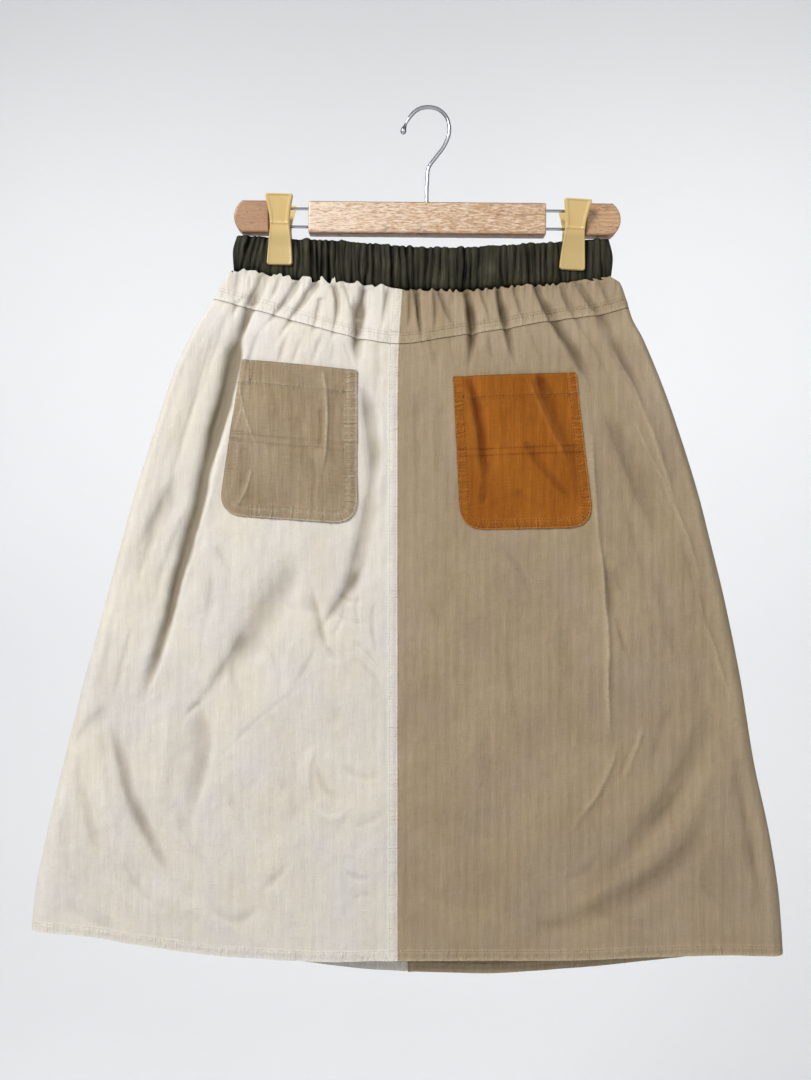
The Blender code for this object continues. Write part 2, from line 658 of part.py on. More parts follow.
def cylinder(name, radius, start, end, material, sides=ROD_SIDES):
    """A round rod between two points."""
    start, end = np.array(start, float), np.array(end, float)
    axis = (end - start) / np.linalg.norm(end - start)
    across_axis = np.cross(axis, [0, 1, 0]) if abs(axis[1]) < 0.9 else np.cross(axis, [1, 0, 0])
    across_axis /= np.linalg.norm(across_axis)
    third = np.cross(axis, across_axis)
    angles = [2 * math.pi * k / sides for k in range(sides)]
    ring = [radius * (math.cos(a) * across_axis + math.sin(a) * third) for a in angles]
    vertices = [start + r for r in ring] + [end + r for r in ring]
    return new_object(name, vertices, prism_faces(sides), material)


def round_edges(obj, width, segments, angle):
    """Rounds an object's edges that are sharper than an angle in degrees."""
    bevel = obj.modifiers.new("edges", "BEVEL")
    bevel.width = width * MM
    bevel.segments = segments
    bevel.limit_method = "ANGLE"
    bevel.angle_limit = math.radians(angle)
    return obj


def plate(name, outline):
    """A wooden piece: an outline in x and z, as thick as the wood, with rounded edges."""
    vertices = [(x, y, z) for y in (-WOOD_THICKNESS / 2, WOOD_THICKNESS / 2) for x, z in outline]
    obj = new_object(name, vertices, prism_faces(len(outline)), "wood")
    return round_edges(obj, WOOD_EDGE, 2, BEVEL_ANGLE)


def end_outline(sign):
    """Outline of a wooden end piece: straight inside, and an arc outside."""
    middle = (END_TOP + END_FOOT) / 2
    reach = math.asin((END_TOP - END_FOOT) / 2 / END_ROUND)
    points = [(sign * END_INNER, END_FOOT), (sign * END_INNER, END_TOP)]
    for angle in np.linspace(reach, -reach, END_STEPS + 1):
        x = END_OUTER - END_ROUND + END_ROUND * math.cos(angle)
        points.append((sign * x, middle + END_ROUND * math.sin(angle)))
    return points


def make_wood():
    """The middle bar and both end pieces, drilled for the rods and for the hook, with the rods between them."""
    hanger = bpy.data.objects.new("hanger", None)
    bpy.context.scene.collection.objects.link(hanger)
    hanger.location = [c * MM for c in HANGER_MIDDLE]
    hanger.rotation_euler = (0, math.radians(HANGER_TILT), 0)
    bar_outline = [(BAR_LEFT, BAR_FOOT), (BAR_LEFT, BAR_TOP), (BAR_RIGHT, BAR_TOP), (BAR_RIGHT, BAR_FOOT)]
    bar = plate("hanger_bar", bar_outline)
    pieces = [bar]
    hole = ROD_RADIUS + HOLE_CLEARANCE
    reach = ROD_DEPTH_IN_WOOD + HOLE_CLEARANCE
    for sign, hand, bar_end in ((-1, "left", BAR_LEFT), (1, "right", BAR_RIGHT)):
        end = plate(f"hanger_end_{hand}", end_outline(sign))
        pieces.append(end)
        inner = sign * END_INNER
        for level, z in ROD_HEIGHTS.items():
            label = f"{level}_{hand}"
            start, stop = bar_end + sign * OVERSHOOT, bar_end - sign * reach
            pieces.append(cut(bar, cylinder(f"cut_bar_{label}", hole, (start, 0, z), (stop, 0, z), None)))
            start, stop = inner - sign * OVERSHOOT, inner + sign * reach
            pieces.append(cut(end, cylinder(f"cut_end_{label}", hole, (start, 0, z), (stop, 0, z), None)))
            from_x, to_x = bar_end - sign * ROD_DEPTH_IN_WOOD, inner + sign * ROD_DEPTH_IN_WOOD
            pieces.append(cylinder(f"rod_{label}", ROD_RADIUS, (from_x, 0, z), (to_x, 0, z), "steel"))
    for piece in pieces:
        piece.parent = hanger
    x, floor = HOOK[0].x, HOOK[0].z - HOLE_CLEARANCE
    cut(bar, cylinder("cut_shank", WIRE_RADIUS + HOLE_CLEARANCE, (x, 0, floor), (x, 0, floor + SHANK_HOLE), None))


def hook_path():
    """Points along the middle of the hook's wire, on a smooth curve through its bends."""
    steps = [math.hypot(b.x - a.x, b.z - a.z) for a, b in zip(HOOK[:-1], HOOK[1:])]
    along = np.concatenate([[0.0], np.cumsum(steps)])
    places = [a + (b - a) * k / HOOK_STEPS for a, b in zip(along[:-1], along[1:]) for k in range(HOOK_STEPS)]
    places = np.array(places + [along[-1]])
    return np.stack([curve(along, column(HOOK, name), places, round_slope) for name in Bend._fields], -1)


def make_hook():
    """The wire hook, one bent rod with a ball at its tip."""
    path = hook_path()
    wire = bpy.data.curves.new("hook", "CURVE")
    wire.dimensions = "3D"
    spline = wire.splines.new("POLY")
    spline.points.add(len(path) - 1)
    for point, (x, z, thickness) in zip(spline.points, path):
        point.co = (x * MM, 0, z * MM, 1)
        point.radius = thickness
    wire.bevel_depth = WIRE_RADIUS * MM
    wire.bevel_resolution = WIRE_BEVEL
    wire.use_fill_caps = True
    obj = bpy.data.objects.new("hook", wire)
    bpy.context.scene.collection.objects.link(obj)
    wire.materials.append(MATERIALS["steel"])
    return obj


def make_jaw(clip, facing, name):
    """One jaw of a clip: a waisted plate that leans away from the rods above them."""
    tilt = math.radians(clip.tilt)
    vertices, faces = [], []
    for row in JAW:
        outer = row.inner + row.thickness
        for x, y in ((-1, row.inner), (1, row.inner), (1, outer), (-1, outer)):
            x, z = x * row.half_width, -row.drop
            turned_x = x * math.cos(tilt) + z * math.sin(tilt)
            turned_z = z * math.cos(tilt) - x * math.sin(tilt)
            vertices.append((clip.x + turned_x, facing * y, clip.z + turned_z))
    for a in range(0, 4 * (len(JAW) - 1), 4):
        faces += [(a + k, a + (k + 1) % 4, a + 4 + (k + 1) % 4, a + 4 + k) for k in range(4)]
    last = 4 * (len(JAW) - 1)
    faces += [(3, 2, 1, 0), (last, last + 1, last + 2, last + 3)]
    return round_edges(new_object(name, vertices, faces, "clip_plastic"), JAW_EDGE, 1, JAW_BEVEL_ANGLE)


def make_clips():
    """Both clips: two jaws and the spring between them."""
    for clip in CLIPS:
        make_jaw(clip, -1, clip.name + "_front")
        make_jaw(clip, 1, clip.name + "_back")
        from_middle = (ROD_HEIGHTS["upper"] + ROD_HEIGHTS["lower"]) / 2
        z = HANGER_MIDDLE[2] + from_middle - clip.x * math.sin(math.radians(HANGER_TILT))
        x = clip.x + (z - clip.z) * math.sin(math.radians(clip.tilt))
        ends = [(x + s * SPRING_LENGTH / 2, 0, z) for s in (-1, 1)]
        cylinder(clip.name + "_spring", SPRING_RADIUS, ends[0], ends[1], "steel", SPRING_SIDES)


# ---------------------------------------------------------------- the model


def make_materials():
    """A plain finish for each stuff that the skirt and hanger are made of."""
    made = {}
    for name, (colour, roughness, metallic) in COLOURS.items():
        material = bpy.data.materials.new(name)
        material.use_nodes = True
        shader = material.node_tree.nodes["Principled BSDF"]
        shader.inputs["Base Color"].default_value = (*colour, 1.0)
        shader.inputs["Roughness"].default_value = roughness
        shader.inputs["Metallic"].default_value = metallic
        made[name] = material
    return made


for old in list(bpy.data.objects):
    bpy.data.objects.remove(old)
MATERIALS = make_materials()

make_band()
for side in ("front", "back"):
    for half, hand in ((-1, "left"), (1, "right")):
        make_cloth(side, half, yoke_grid, f"yoke_{side}_{hand}")
        make_cloth(side, half, panel_grid, f"panel_{side}_{hand}")
for pocket in POCKETS:
    make_pocket(pocket)
make_wood()
make_hook()
make_clips()
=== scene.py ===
"""Dressed model of a gathered utility skirt on a wooden clip hanger.

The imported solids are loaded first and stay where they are. Each sub-assembly below is a class that builds
its meshes in millimetres, in the same frame as the solids, and dresses them. +Z is up, the skirt's front
faces -Y, and the origin is the inside of the hook's crown.

The skirt is a flattened tube of two faces. A place on a face is given by x and z, and `depth` is how far the
cloth's outer side stands from the plane y = 0, forwards on the front and backwards on the back.
"""

import logging
import math
from collections.abc import Callable, Iterable, Sequence
from dataclasses import dataclass
from enum import Enum
from typing import NamedTuple

import bpy
import numpy as np
from bpy.types import Material, Node, NodeSocket, NodeTree, Object
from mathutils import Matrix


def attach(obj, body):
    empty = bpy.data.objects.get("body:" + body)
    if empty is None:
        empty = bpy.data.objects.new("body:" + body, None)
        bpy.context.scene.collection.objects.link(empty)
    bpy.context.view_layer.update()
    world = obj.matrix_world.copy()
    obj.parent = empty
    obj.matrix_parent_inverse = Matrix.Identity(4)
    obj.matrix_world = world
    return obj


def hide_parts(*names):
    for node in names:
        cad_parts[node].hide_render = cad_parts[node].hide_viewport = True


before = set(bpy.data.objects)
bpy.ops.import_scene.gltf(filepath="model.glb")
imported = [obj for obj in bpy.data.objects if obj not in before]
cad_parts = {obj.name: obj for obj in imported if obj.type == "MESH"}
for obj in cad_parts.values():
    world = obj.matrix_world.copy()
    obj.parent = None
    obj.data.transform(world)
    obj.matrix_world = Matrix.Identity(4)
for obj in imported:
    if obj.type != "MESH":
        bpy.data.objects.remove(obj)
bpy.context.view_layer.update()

LOG = logging.getLogger("utility_skirt")
MM = 0.001  # metres in a millimetre
HeightsRule = Callable[[np.ndarray, np.ndarray], np.ndarray]  # rows' heights from columns' x and u
ROOT = "root"  # the part has one body

# Rows of stitches, and how far they are from their seam or edge, in millimetres.
HEM_STITCHES = 8.7
YOKE_STITCHES = (7.8, 10.4)
FELLED_STITCHES = (1.9, 7.6)
POCKET_STITCHES = (1.6, 8.0)
GATHER_ENDS = (0.02, 0.75)  # shares of a gather's length over which it grows and dies away


class Side(Enum):
    """A face of the skirt, with the direction in which it looks along y."""

    FRONT = -1
    BACK = 1


class Hand(Enum):
    """A half of the skirt, as seen by someone who looks at its front."""

    LEFT = -1
    RIGHT = 1


class Cut(Enum):
    """A kind of cloth piece in the skirt's body, with its name in the pieces' names."""

    PANEL = "panel"
    YOKE = "yoke"


# ---------------------------------------------------------------- tables of the skirt's form


class Across(NamedTuple):
    """Heights of the seams at one place across: u is -1 and 1 at the side seams and 0 at the centre seam."""

    u: float
    band_top: float
    band_foot: float
    yoke_seam: float
    hem: float
    back_hem: float


class Section(NamedTuple):
    """The tube at one height: side seams, centre seam, fullness to front and back, and roll at the sides."""

    z: float
    left: float
    right: float
    front_seam: float
    front: float
    back: float
    roll: float


class Pinch(NamedTuple):
    """Half the gap between the waistband's two faces at x."""

    x: float
    half_gap: float


class BandEnd(NamedTuple):
    """The waistband's ends, `share` of the way down it."""

    share: float
    left: float
    right: float


class Crease(NamedTuple):
    """A crease between two gathers of the waistband: x at the band's top and foot, and depth, from 0 to 1."""

    top: float
    foot: float
    depth: float


class Fold(NamedTuple):
    """A fold through three points. It reaches `width` to either side and sinks by `depth`; a ridge has a
    negative depth. `crisp` turns its soft trough into a pressed crease, `skew` makes its right flank the
    steeper one, and `lip` raises the cloth beside that flank, as a share of the depth. `dark` is how much
    painted shade its bottom gets, in millimetres of hollow for each millimetre of depth."""

    x1: float
    z1: float
    x2: float
    z2: float
    x3: float
    z3: float
    width: float
    depth: float
    crisp: float = 0.0
    skew: float = 0.35
    lip: float = 0.0
    dark: float = 0.2


class Crest(NamedTuple):
    """A point of the edge in which the front yokes' gathers stand up over the waistband's seam."""

    x: float
    z: float


SEAMS = (
    Across(-1.00, -120.5, -152.5, -182.2, -777.0, -778.5),
    Across(-0.85, -121.8, -156.0, -188.6, -780.6, -783.5),
    Across(-0.69, -123.5, -160.0, -195.7, -789.1, -792.0),
    Across(-0.45, -125.8, -166.0, -208.0, -799.6, -804.5),
    Across(-0.17, -130.0, -171.5, -221.9, -804.0, -818.5),
    Across(0.00, -132.6, -174.4, -226.8, -803.0, -823.0),
    Across(0.20, -134.2, -175.0, -220.2, -803.1, -824.4),
    Across(0.45, -131.6, -171.8, -211.6, -802.8, -819.0),
    Across(0.65, -128.3, -168.0, -203.5, -800.4, -811.5),
    Across(0.85, -125.0, -165.5, -198.0, -798.9, -804.5),
    Across(1.00, -123.5, -162.0, -190.0, -800.5, -800.5),
)
SECTIONS = (
    Section(-825, -379.0, 338.0, -28.8, 12.0, 8.0, 15.0),
    Section(-750, -373.4, 333.0, -28.8, 13.0, 8.0, 15.0),
    Section(-693, -362.6, 324.5, -28.8, 14.0, 8.0, 15.0),
    Section(-617, -344.6, 308.3, -28.8, 15.0, 8.5, 15.0),
    Section(-541, -325.5, 296.0, -28.8, 15.5, 8.5, 14.0),
    Section(-465, -304.6, 280.6, -28.8, 16.0, 8.5, 13.0),
    Section(-408, -289.4, 266.6, -28.8, 16.5, 8.5, 12.0),
    Section(-370, -279.0, 257.0, -28.8, 16.5, 8.5, 11.0),
    Section(-295, -255.5, 233.4, -28.8, 16.5, 9.0, 9.5),
    Section(-256, -242.8, 219.1, -28.4, 16.0, 9.0, 9.0),
    Section(-220, -226.8, 203.6, -27.2, 15.0, 9.0, 8.0),
    Section(-200, -214.8, 193.4, -26.0, 13.5, 9.0, 7.0),
    Section(-180, -202.0, 187.6, -24.5, 12.0, 8.5, 6.0),
    Section(-166, -195.0, 182.0, -23.6, 10.5, 8.0, 5.0),
    Section(-160, -191.5, 173.5, -23.5, 9.5, 7.5, 5.0),
    Section(-150, -184.0, 170.0, -23.5, 9.0, 7.5, 4.5),
)
PINCHES = (
    Pinch(-190, 1.3),
    Pinch(-160, 0.7),
    Pinch(-152, 0.5),
    Pinch(-126, 0.5),
    Pinch(-100, 2.6),
    Pinch(-50, 5.5),
    Pinch(0, 6.4),
    Pinch(50, 5.5),
    Pinch(98, 2.6),
    Pinch(123, 0.5),
    Pinch(150, 0.5),
    Pinch(158, 0.7),
    Pinch(180, 1.3),
)
BAND_ENDS = (
    BandEnd(0.0, -181.5, 171.5),
    BandEnd(0.5, -185.5, 175.5),
    BandEnd(1.0, -184.5, 173.5),
)

# Large folds, which the solids have too.
FRONT_FOLDS = tuple(
    Fold(*row)
    for row in (
        (-158, -168, -170, -200, -179, -232, 5, 6, 0.1, 0, 0.15, 0.5),
        (-176, -204, -189, -272, -206, -344, 9, 9, 0, 0, 0.1, 0.65),
        (-188, -258, -216, -378, -248, -500, 7.5, 7.5, 0, 0, 0.1, 0.5),
        (-226, -412, -247, -497, -271, -570, 6, 4.6, 0.05, 0, 0.08, 0.35),
        (-166, -214, -192, -316, -222, -428, 12, -2.2, 0.35, 0.4),
        (-299, -568, -277, -655, -233, -738, 7, 3.6, 0.12, -0.35, 0.06),
        (-307, -600, -288, -668, -247, -744, 8, -1.4, 0, 0.2),
        (-311, -619, -295, -680, -269, -731, 10, -2, 0.05, 0.2),
        (-67, -172, -67, -214, -63, -253, 7.5, 6, 0.15, -0.35, 0.15),
        (-64, -256, -53, -316, -54, -377, 9, 4.8, 0.1, -0.35, 0.12),
        (-51, -344, -62, -414, -84, -469, 10, 4, 0.05, -0.35, 0.06),
        (-113, -421, -157, -484, -189, -556, 16, 4.2, 0, -0.1),
        (-170, -491, -189, -525, -222, -574, 7.08, 2.46, 0.24, -0.35, 0.08),
        (-64, -432, -80, -462, -103, -494, 9.5, 2.7, 0.06, -0.35, 0.08),
        (-232, -344, -255, -391, -275, -430, 9.44, 2.46, 0.06, -0.35),
        (-298, -560, -319, -585, -345, -618, 8, 2, 0.1, -0.35, 0.04),
        (-262, -726, -222, -754, -176, -773, 10, -1.8, 0.05, 0.2),
        (36, -177, 39, -214, 37, -253, 4.72, 4.7, 0.24, -0.35, 0.12),
        (39, -256, 49, -312, 53, -363, 6.49, 3.36, 0.12, -0.35, 0.08),
        (68, -176, 74, -214, 85, -253, 4.25, 4.03, 0.3, -0.35, 0.16),
        (105, -178, 130, -223, 160, -279, 7.08, 5.15, 0.18, -0.35, 0.12),
        (158, -277, 190, -344, 221, -428, 10.6, 3, 0.06, -0.35, 0.08),
        (147, -178, 177, -232, 202, -298, 7.7, 3, 0.12, -0.35, 0.08),
        (169, -223, 207, -307, 242, -409, 8, -2.6, 0.35, 0.4),
        (151, -293, 156, -372, 160, -428, 5.5, -2.8, 0.35, 0.45),
        (158, -400, 164, -456, 169, -520, 5, -3, 0.45, 0.45),
        (167, -470, 167, -540, 170, -608, 5, -3, 0.5, 0.45),
        (166, -428, 169, -458, 173, -495, 5.5, 1.6, 0.2, -0.35),
        (174, -598, 160, -640, 124, -690, 6, -2.4, 0.4, 0.4),
        (276, -530, 223, -652, 137, -740, 12, 2.9, 0, -0.2, 0, 0.1),
        (267, -600, 227, -689, 120, -762, 11, -1.6, 0, 0),
        (264, -663, 201, -736, 56, -787, 12, 2.9, 0, -0.2, 0, 0.1),
        (-213, -560, -210, -615, -232, -688, 11, 2.8, 0, 0.3),
        (286, -601, 300, -672, 312, -752, 9, 2.6, 0, -0.2),
        (-238, -545, -247, -615, -254, -680, 10, -1.7, 0.1, 0),
        (-120, -444, -103, -487, -88, -530, 5, 1.6, 0.15, 0.2),
    )
)
BACK_FOLDS = tuple(
    Fold(*row)
    for row in (
        (-120, -175, -160, -330, -215, -560, 11, 4), (-150, -190, -190, -330, -245, -540, 12, -2),
        (-60, -172, -66, -260, -80, -420, 9, 4), (50, -172, 60, -270, 64, -430, 10, 4),
        (120, -176, 150, -300, 210, -500, 11, 4), (150, -200, 190, -330, 245, -500, 12, -2),
        (-270, -560, -240, -650, -180, -730, 12, 3.5), (260, -560, 225, -650, 150, -725, 12, 3.5),
    )
)

# Creases between the yoke's gathers, from the waistband's seam down.
FRONT_GATHERS = tuple(
    Fold(*row, crisp=0.2, skew=-0.3, lip=0.15)
    for row in (
        (-177.6, -149.6, -180.3, -183.9, -184, -213.7, 4.1, 1.5),
        (-152.6, -156.1, -164.5, -190.4, -174.7, -219.3, 6, 3.8),
        (-138, -156, -144, -176, -150, -190, 3, 1.4),
        (-120.2, -160.8, -138.4, -191.3, -158.9, -219.3, 4.1, 2.9),
        (-103.1, -161.7, -123.4, -193.3, -147.7, -237.9, 4.3, 3.8),
        (-103.4, -181.7, -106.7, -206.2, -112.3, -226.7, 3.5, 1.5),
        (-93.4, -163.6, -85.2, -195, -97.3, -245.4, 4.1, 3.1),
        (-78.9, -166.4, -73.1, -185.7, -71.2, -196.9, 2.9, 2.1),
        (-58.2, -167.2, -65.7, -206.2, -68.5, -238.2, 5, 4.2),
        (-35.2, -170, -41.4, -195, -47, -230.5, 3.5, 1.7),
        (-16.5, -173.7, -18, -202.5, -20.8, -220, 2.9, 1.4),
        (-11.8, -171.7, -7.9, -206.2, -4.1, -241.7, 2.9, 3.2), (4.2, -172.7, 7.1, -202.5, 1.5, -223, 3, 1.4),
        (8.8, -172.7, 20.1, -202.5, 29.4, -213.7, 3, 1.4),
        (34.4, -171.7, 40.6, -210, 38.8, -252.8, 4.7, 3.4), (49.3, -171.9, 55.5, -196.9, 57.4, -209, 3, 1.5),
        (65.6, -170.9, 69.5, -206.2, 80.7, -247.2, 3.4, 3.2),
        (79.7, -170.9, 87.2, -196.9, 91.9, -209, 3, 1.4),
        (102.1, -168.1, 115.2, -202.5, 140.4, -247.2, 4.1, 3.4),
        (125.9, -165.3, 135.7, -195, 148.7, -219.3, 3.8, 2.1),
        (139.9, -163.5, 158.1, -193.2, 178.6, -223, 4.3, 2.6),
        (160.8, -158.8, 170.1, -183.9, 177.6, -198.9, 3.5, 1.4),
    )
)

# Small creases on the front's panels: pressed lines, dimples and crumples.
FRONT_CREASES = tuple(
    Fold(*points, width, depth, crisp, 0.4 if depth < 0 else -0.3, lip)
    for *points, width, depth, crisp, lip in (
        (-170, -180, -180, -190, -183, -203, 3.74, 1.33, 0.33, 0.1),
        (-155, -209, -164, -234, -171, -258, 3.96, 1.33, 0.26, 0.14),
        (-129, -214, -136, -232, -142, -249, 3.96, 1.52, 0.26, 0.14),
        (-116, -218, -123, -234, -128, -247, 3.74, 1.14, 0.26, 0.14),
        (-99, -216, -103, -232, -110, -249, 3.96, 1.33, 0.26, 0.14),
        (-86, -218, -88, -234, -92, -247, 3.74, 0.95, 0.26, 0.1),
        (-78, -223, -73, -238, -69, -253, 3.52, 1.14, 0.33, 0.1),
        (-47, -214, -45, -244, -48, -279, 5.5, 1.33, 0.13, 0.07),
        (-34, -186, -35, -242, -33, -298, 5.5, 0.95, 0.13, 0),
        (-40, -307, -38, -354, -45, -409, 6.6, 1.33, 0.13, 0.07),
        (-179, -176, -199, -232, -217, -288, 5.5, 1.52, 0.2, 0.1),
        (-192, -195, -213, -260, -226, -316, 5.5, 1.23, 0.2, 0.1),
        (-205, -218, -222, -274, -241, -344, 6.05, 1.42, 0.2, 0.1),
        (-213, -260, -232, -326, -248, -391, 4.95, 1.14, 0.26, 0.1),
        (-226, -232, -241, -284, -254, -330, 6.6, 1.04, 0.07, 0),
        (-243, -354, -260, -409, -273, -465, 5.5, 1.14, 0.2, 0.07),
        (-222, -372, -243, -428, -260, -484, 5.5, 1.33, 0.2, 0.1),
        (-205, -372, -217, -428, -235, -484, 4.95, 1.14, 0.26, 0.1),
        (-239, -456, -252, -503, -269, -549, 5.5, 1.33, 0.2, 0.1),
        (-288, -465, -299, -512, -308, -559, 6.6, 1.14, 0.13, 0),
        (-274, -484, -289, -532, -295, -562, 4.4, 1.33, 0.26, 0.1),
        (-306, -573, -301, -619, -288, -670, 5.5, 1.52, 0.2, 0.1),
        (-327, -596, -321, -661, -302, -726, 6.6, 1.23, 0.13, 0.07),
        (-342, -652, -338, -708, -321, -759, 6.6, 1.14, 0.13, 0),
        (-289, -698, -274, -731, -250, -756, 4.95, 1.23, 0.26, 0.1),
        (-239, -652, -222, -694, -199, -726, 7.7, 1.14, 0.07, 0.07),
        (-343, -745, -315, -766, -282, -773, 6.6, 0.95, 0.13, 0),
        (-213, -750, -179, -766, -155, -745, 5.5, 1.23, 0.2, 0.1),
        (-155, -740, -142, -725, -125, -711, 5.5, 1.14, 0.2, 0.07),
        (-199, -411, -191, -430, -179, -449, 5.5, 1.14, 0.13, 0.07),
        (-116, -428, -103, -482, -95, -510, 4.4, 1.71, 0.33, 0.17),
        (-95, -507, -89, -517, -82, -523, 3.3, 1.14, 0.39, 0.14),
        (-57, -426, -82, -467, -103, -491, 4.4, 1.71, 0.33, 0.14),
        (-89, -454, -71, -467, -53, -462, 2.86, 1.04, 0.39, 0.17),
        (-86, -477, -71, -486, -49, -486, 2.86, 1.04, 0.39, 0.17),
        (-78, -464, -82, -486, -92, -499, 2.86, 0.95, 0.39, 0.17),
        (-64, -456, -66, -477, -60, -503, 2.86, 1.14, 0.39, 0.17),
        (-47, -465, -51, -493, -43, -529, 3.08, 1.14, 0.39, 0.14),
        (-75, -503, -58, -514, -41, -538, 3.08, 1.14, 0.39, 0.14),
        (-71, -521, -56, -532, -40, -559, 3.3, 0.95, 0.33, 0.1),
        (-103, -503, -114, -529, -129, -549, 3.96, 0.95, 0.26, 0.1),
        (-92, -527, -155, -574, -209, -629, 1.98, 0.66, 0.52, 0.1),
        (-155, -503, -142, -529, -138, -559, 5.5, 1.04, 0.13, 0.07),
        (-138, -465, -120, -475, -95, -471, 5.5, 0.85, 0.13, 0),
        (-183, -517, -179, -549, -164, -574, 5.5, 1.04, 0.13, 0.07),
        (-209, -559, -219, -566, -229, -578, 3.3, 1.71, 0.33, 0.14),
        (-202, -428, -205, -475, -213, -521, 5.5, 1.14, 0.13, 0.07),
        (-103, -598, -112, -626, -107, -652, 4.95, -1.33, 0.2, 0),
        (-109, -652, -88, -669, -68, -650, 4.4, -1.23, 0.26, 0),
        (-103, -613, -95, -642, -78, -652, 4.4, 1.14, 0.26, 0),
        (-82, -615, -64, -631, -40, -626, 4.4, 0.95, 0.2, 0.1),
        (-148, -624, -129, -652, -123, -689, 6.6, 0.95, 0.07, 0),
        (-71, -680, -54, -672, -36, -663, 4.95, 0.95, 0.2, 0.07),
        (-79, -715, -64, -726, -49, -721, 4.95, 1.04, 0.2, 0.1),
        (-71, -750, -62, -741, -49, -745, 3.96, 0.85, 0.26, 0.1),
        (-260, -596, -243, -624, -235, -652, 6.6, 0.95, 0.13, 0.07),
        (-198, -633, -176, -670, -166, -708, 7.7, 1.04, 0.07, 0),
        (1, -214, 4, -234, 9, -253, 3.96, 1.14, 0.26, 0.1),
        (20, -214, 22, -234, 26, -253, 3.74, 0.95, 0.26, 0.1),
        (56, -214, 59, -234, 65, -249, 3.74, 1.14, 0.26, 0.1),
        (95, -214, 102, -232, 111, -247, 3.74, 1.14, 0.26, 0.1),
        (119, -204, 134, -228, 151, -253, 3.96, 1.52, 0.26, 0.1),
        (134, -197, 158, -234, 177, -275, 4.4, 1.42, 0.2, 0.1),
        (164, -203, 188, -251, 208, -305, 4.4, 1.52, 0.2, 0.1),
        (-12, -260, -10, -316, -4, -372, 7.7, 1.04, 0.07, 0),
        (15, -260, 13, -316, 16, -372, 7.7, 0.95, 0.07, 0),
        (190, -290, 208, -333, 231, -372, 4.4, -1.42, 0.26, 0),
        (197, -313, 218, -354, 238, -406, 3.74, 1.33, 0.33, 0.1),
        (220, -354, 242, -409, 255, -456, 4.4, -1.42, 0.26, 0),
        (244, -428, 264, -503, 289, -574, 4.4, -1.42, 0.26, 0),
        (231, -391, 251, -456, 268, -512, 4.95, 1.23, 0.2, 0.07),
        (179, -344, 192, -400, 207, -456, 6.6, 1.04, 0.07, 0.07),
        (207, -428, 223, -484, 244, -549, 6.6, 1.04, 0.07, 0.07),
        (175, -475, 180, -503, 190, -525, 3.3, 1.52, 0.33, 0.14),
        (177, -428, 180, -451, 188, -469, 4.4, 1.04, 0.26, 0.1),
        (205, -577, 192, -607, 180, -641, 3.74, -1.52, 0.33, 0),
        (199, -583, 186, -611, 175, -641, 3.52, 1.14, 0.33, 0),
        (231, -559, 216, -596, 207, -642, 5.5, 1.14, 0.13, 0.07),
        (249, -512, 253, -559, 244, -605, 5.5, 1.04, 0.13, 0.07),
        (67, -411, 87, -443, 104, -477, 4.95, 1.33, 0.2, 0.1),
        (79, -512, 78, -549, 84, -596, 4.4, 0.95, 0.26, 0.1),
        (48, -559, 54, -615, 46, -663, 7.7, 0.85, 0.07, 0),
        (1, -469, 9, -484, 18, -497, 4.4, 1.04, 0.2, 0.07),
        (123, -465, 128, -521, 123, -577, 7.7, 0.85, 0.07, 0),
        (164, -698, 147, -719, 123, -728, 5.5, 0.95, 0.2, 0.07),
        (11, -652, 39, -680, 85, -687, 9.9, 0.76, 0, 0), (-8, -726, 29, -750, 85, -747, 9.9, 0.85, 0, 0),
        (253, -726, 272, -750, 295, -768, 5.5, 1.04, 0.2, 0.07),
        (302, -689, 311, -726, 320, -768, 5.5, 1.14, 0.2, 0.1),
        (151, -750, 179, -768, 216, -773, 6.6, 0.95, 0.13, 0.07),
        (67, -750, 104, -768, 151, -771, 6.6, 0.85, 0.13, 0.07),
        (244, -633, 223, -663, 197, -689, 5.5, 1.23, 0.2, 0.07),
    )
)
BACK_CREASES = tuple(
    Fold(*row)
    for row in (
        (-250, -420, -226, -450, -190, -468, 6, 1.4, 0.2), (-110, -520, -86, -566, -40, -598, 7, 1.3, 0.2),
        (90, -470, 130, -512, 150, -566, 6, 1.3, 0.3), (-300, -690, -262, -712, -214, -716, 7, 1.5, 0.2),
        (40, -640, 76, -672, 130, -684, 8, 1.1, 0.1), (232, -620, 260, -668, 276, -732, 7, 1.5, 0.2),
        (-30, -300, -44, -350, -40, -410, 6, 1.2, 0.2),
    )
)

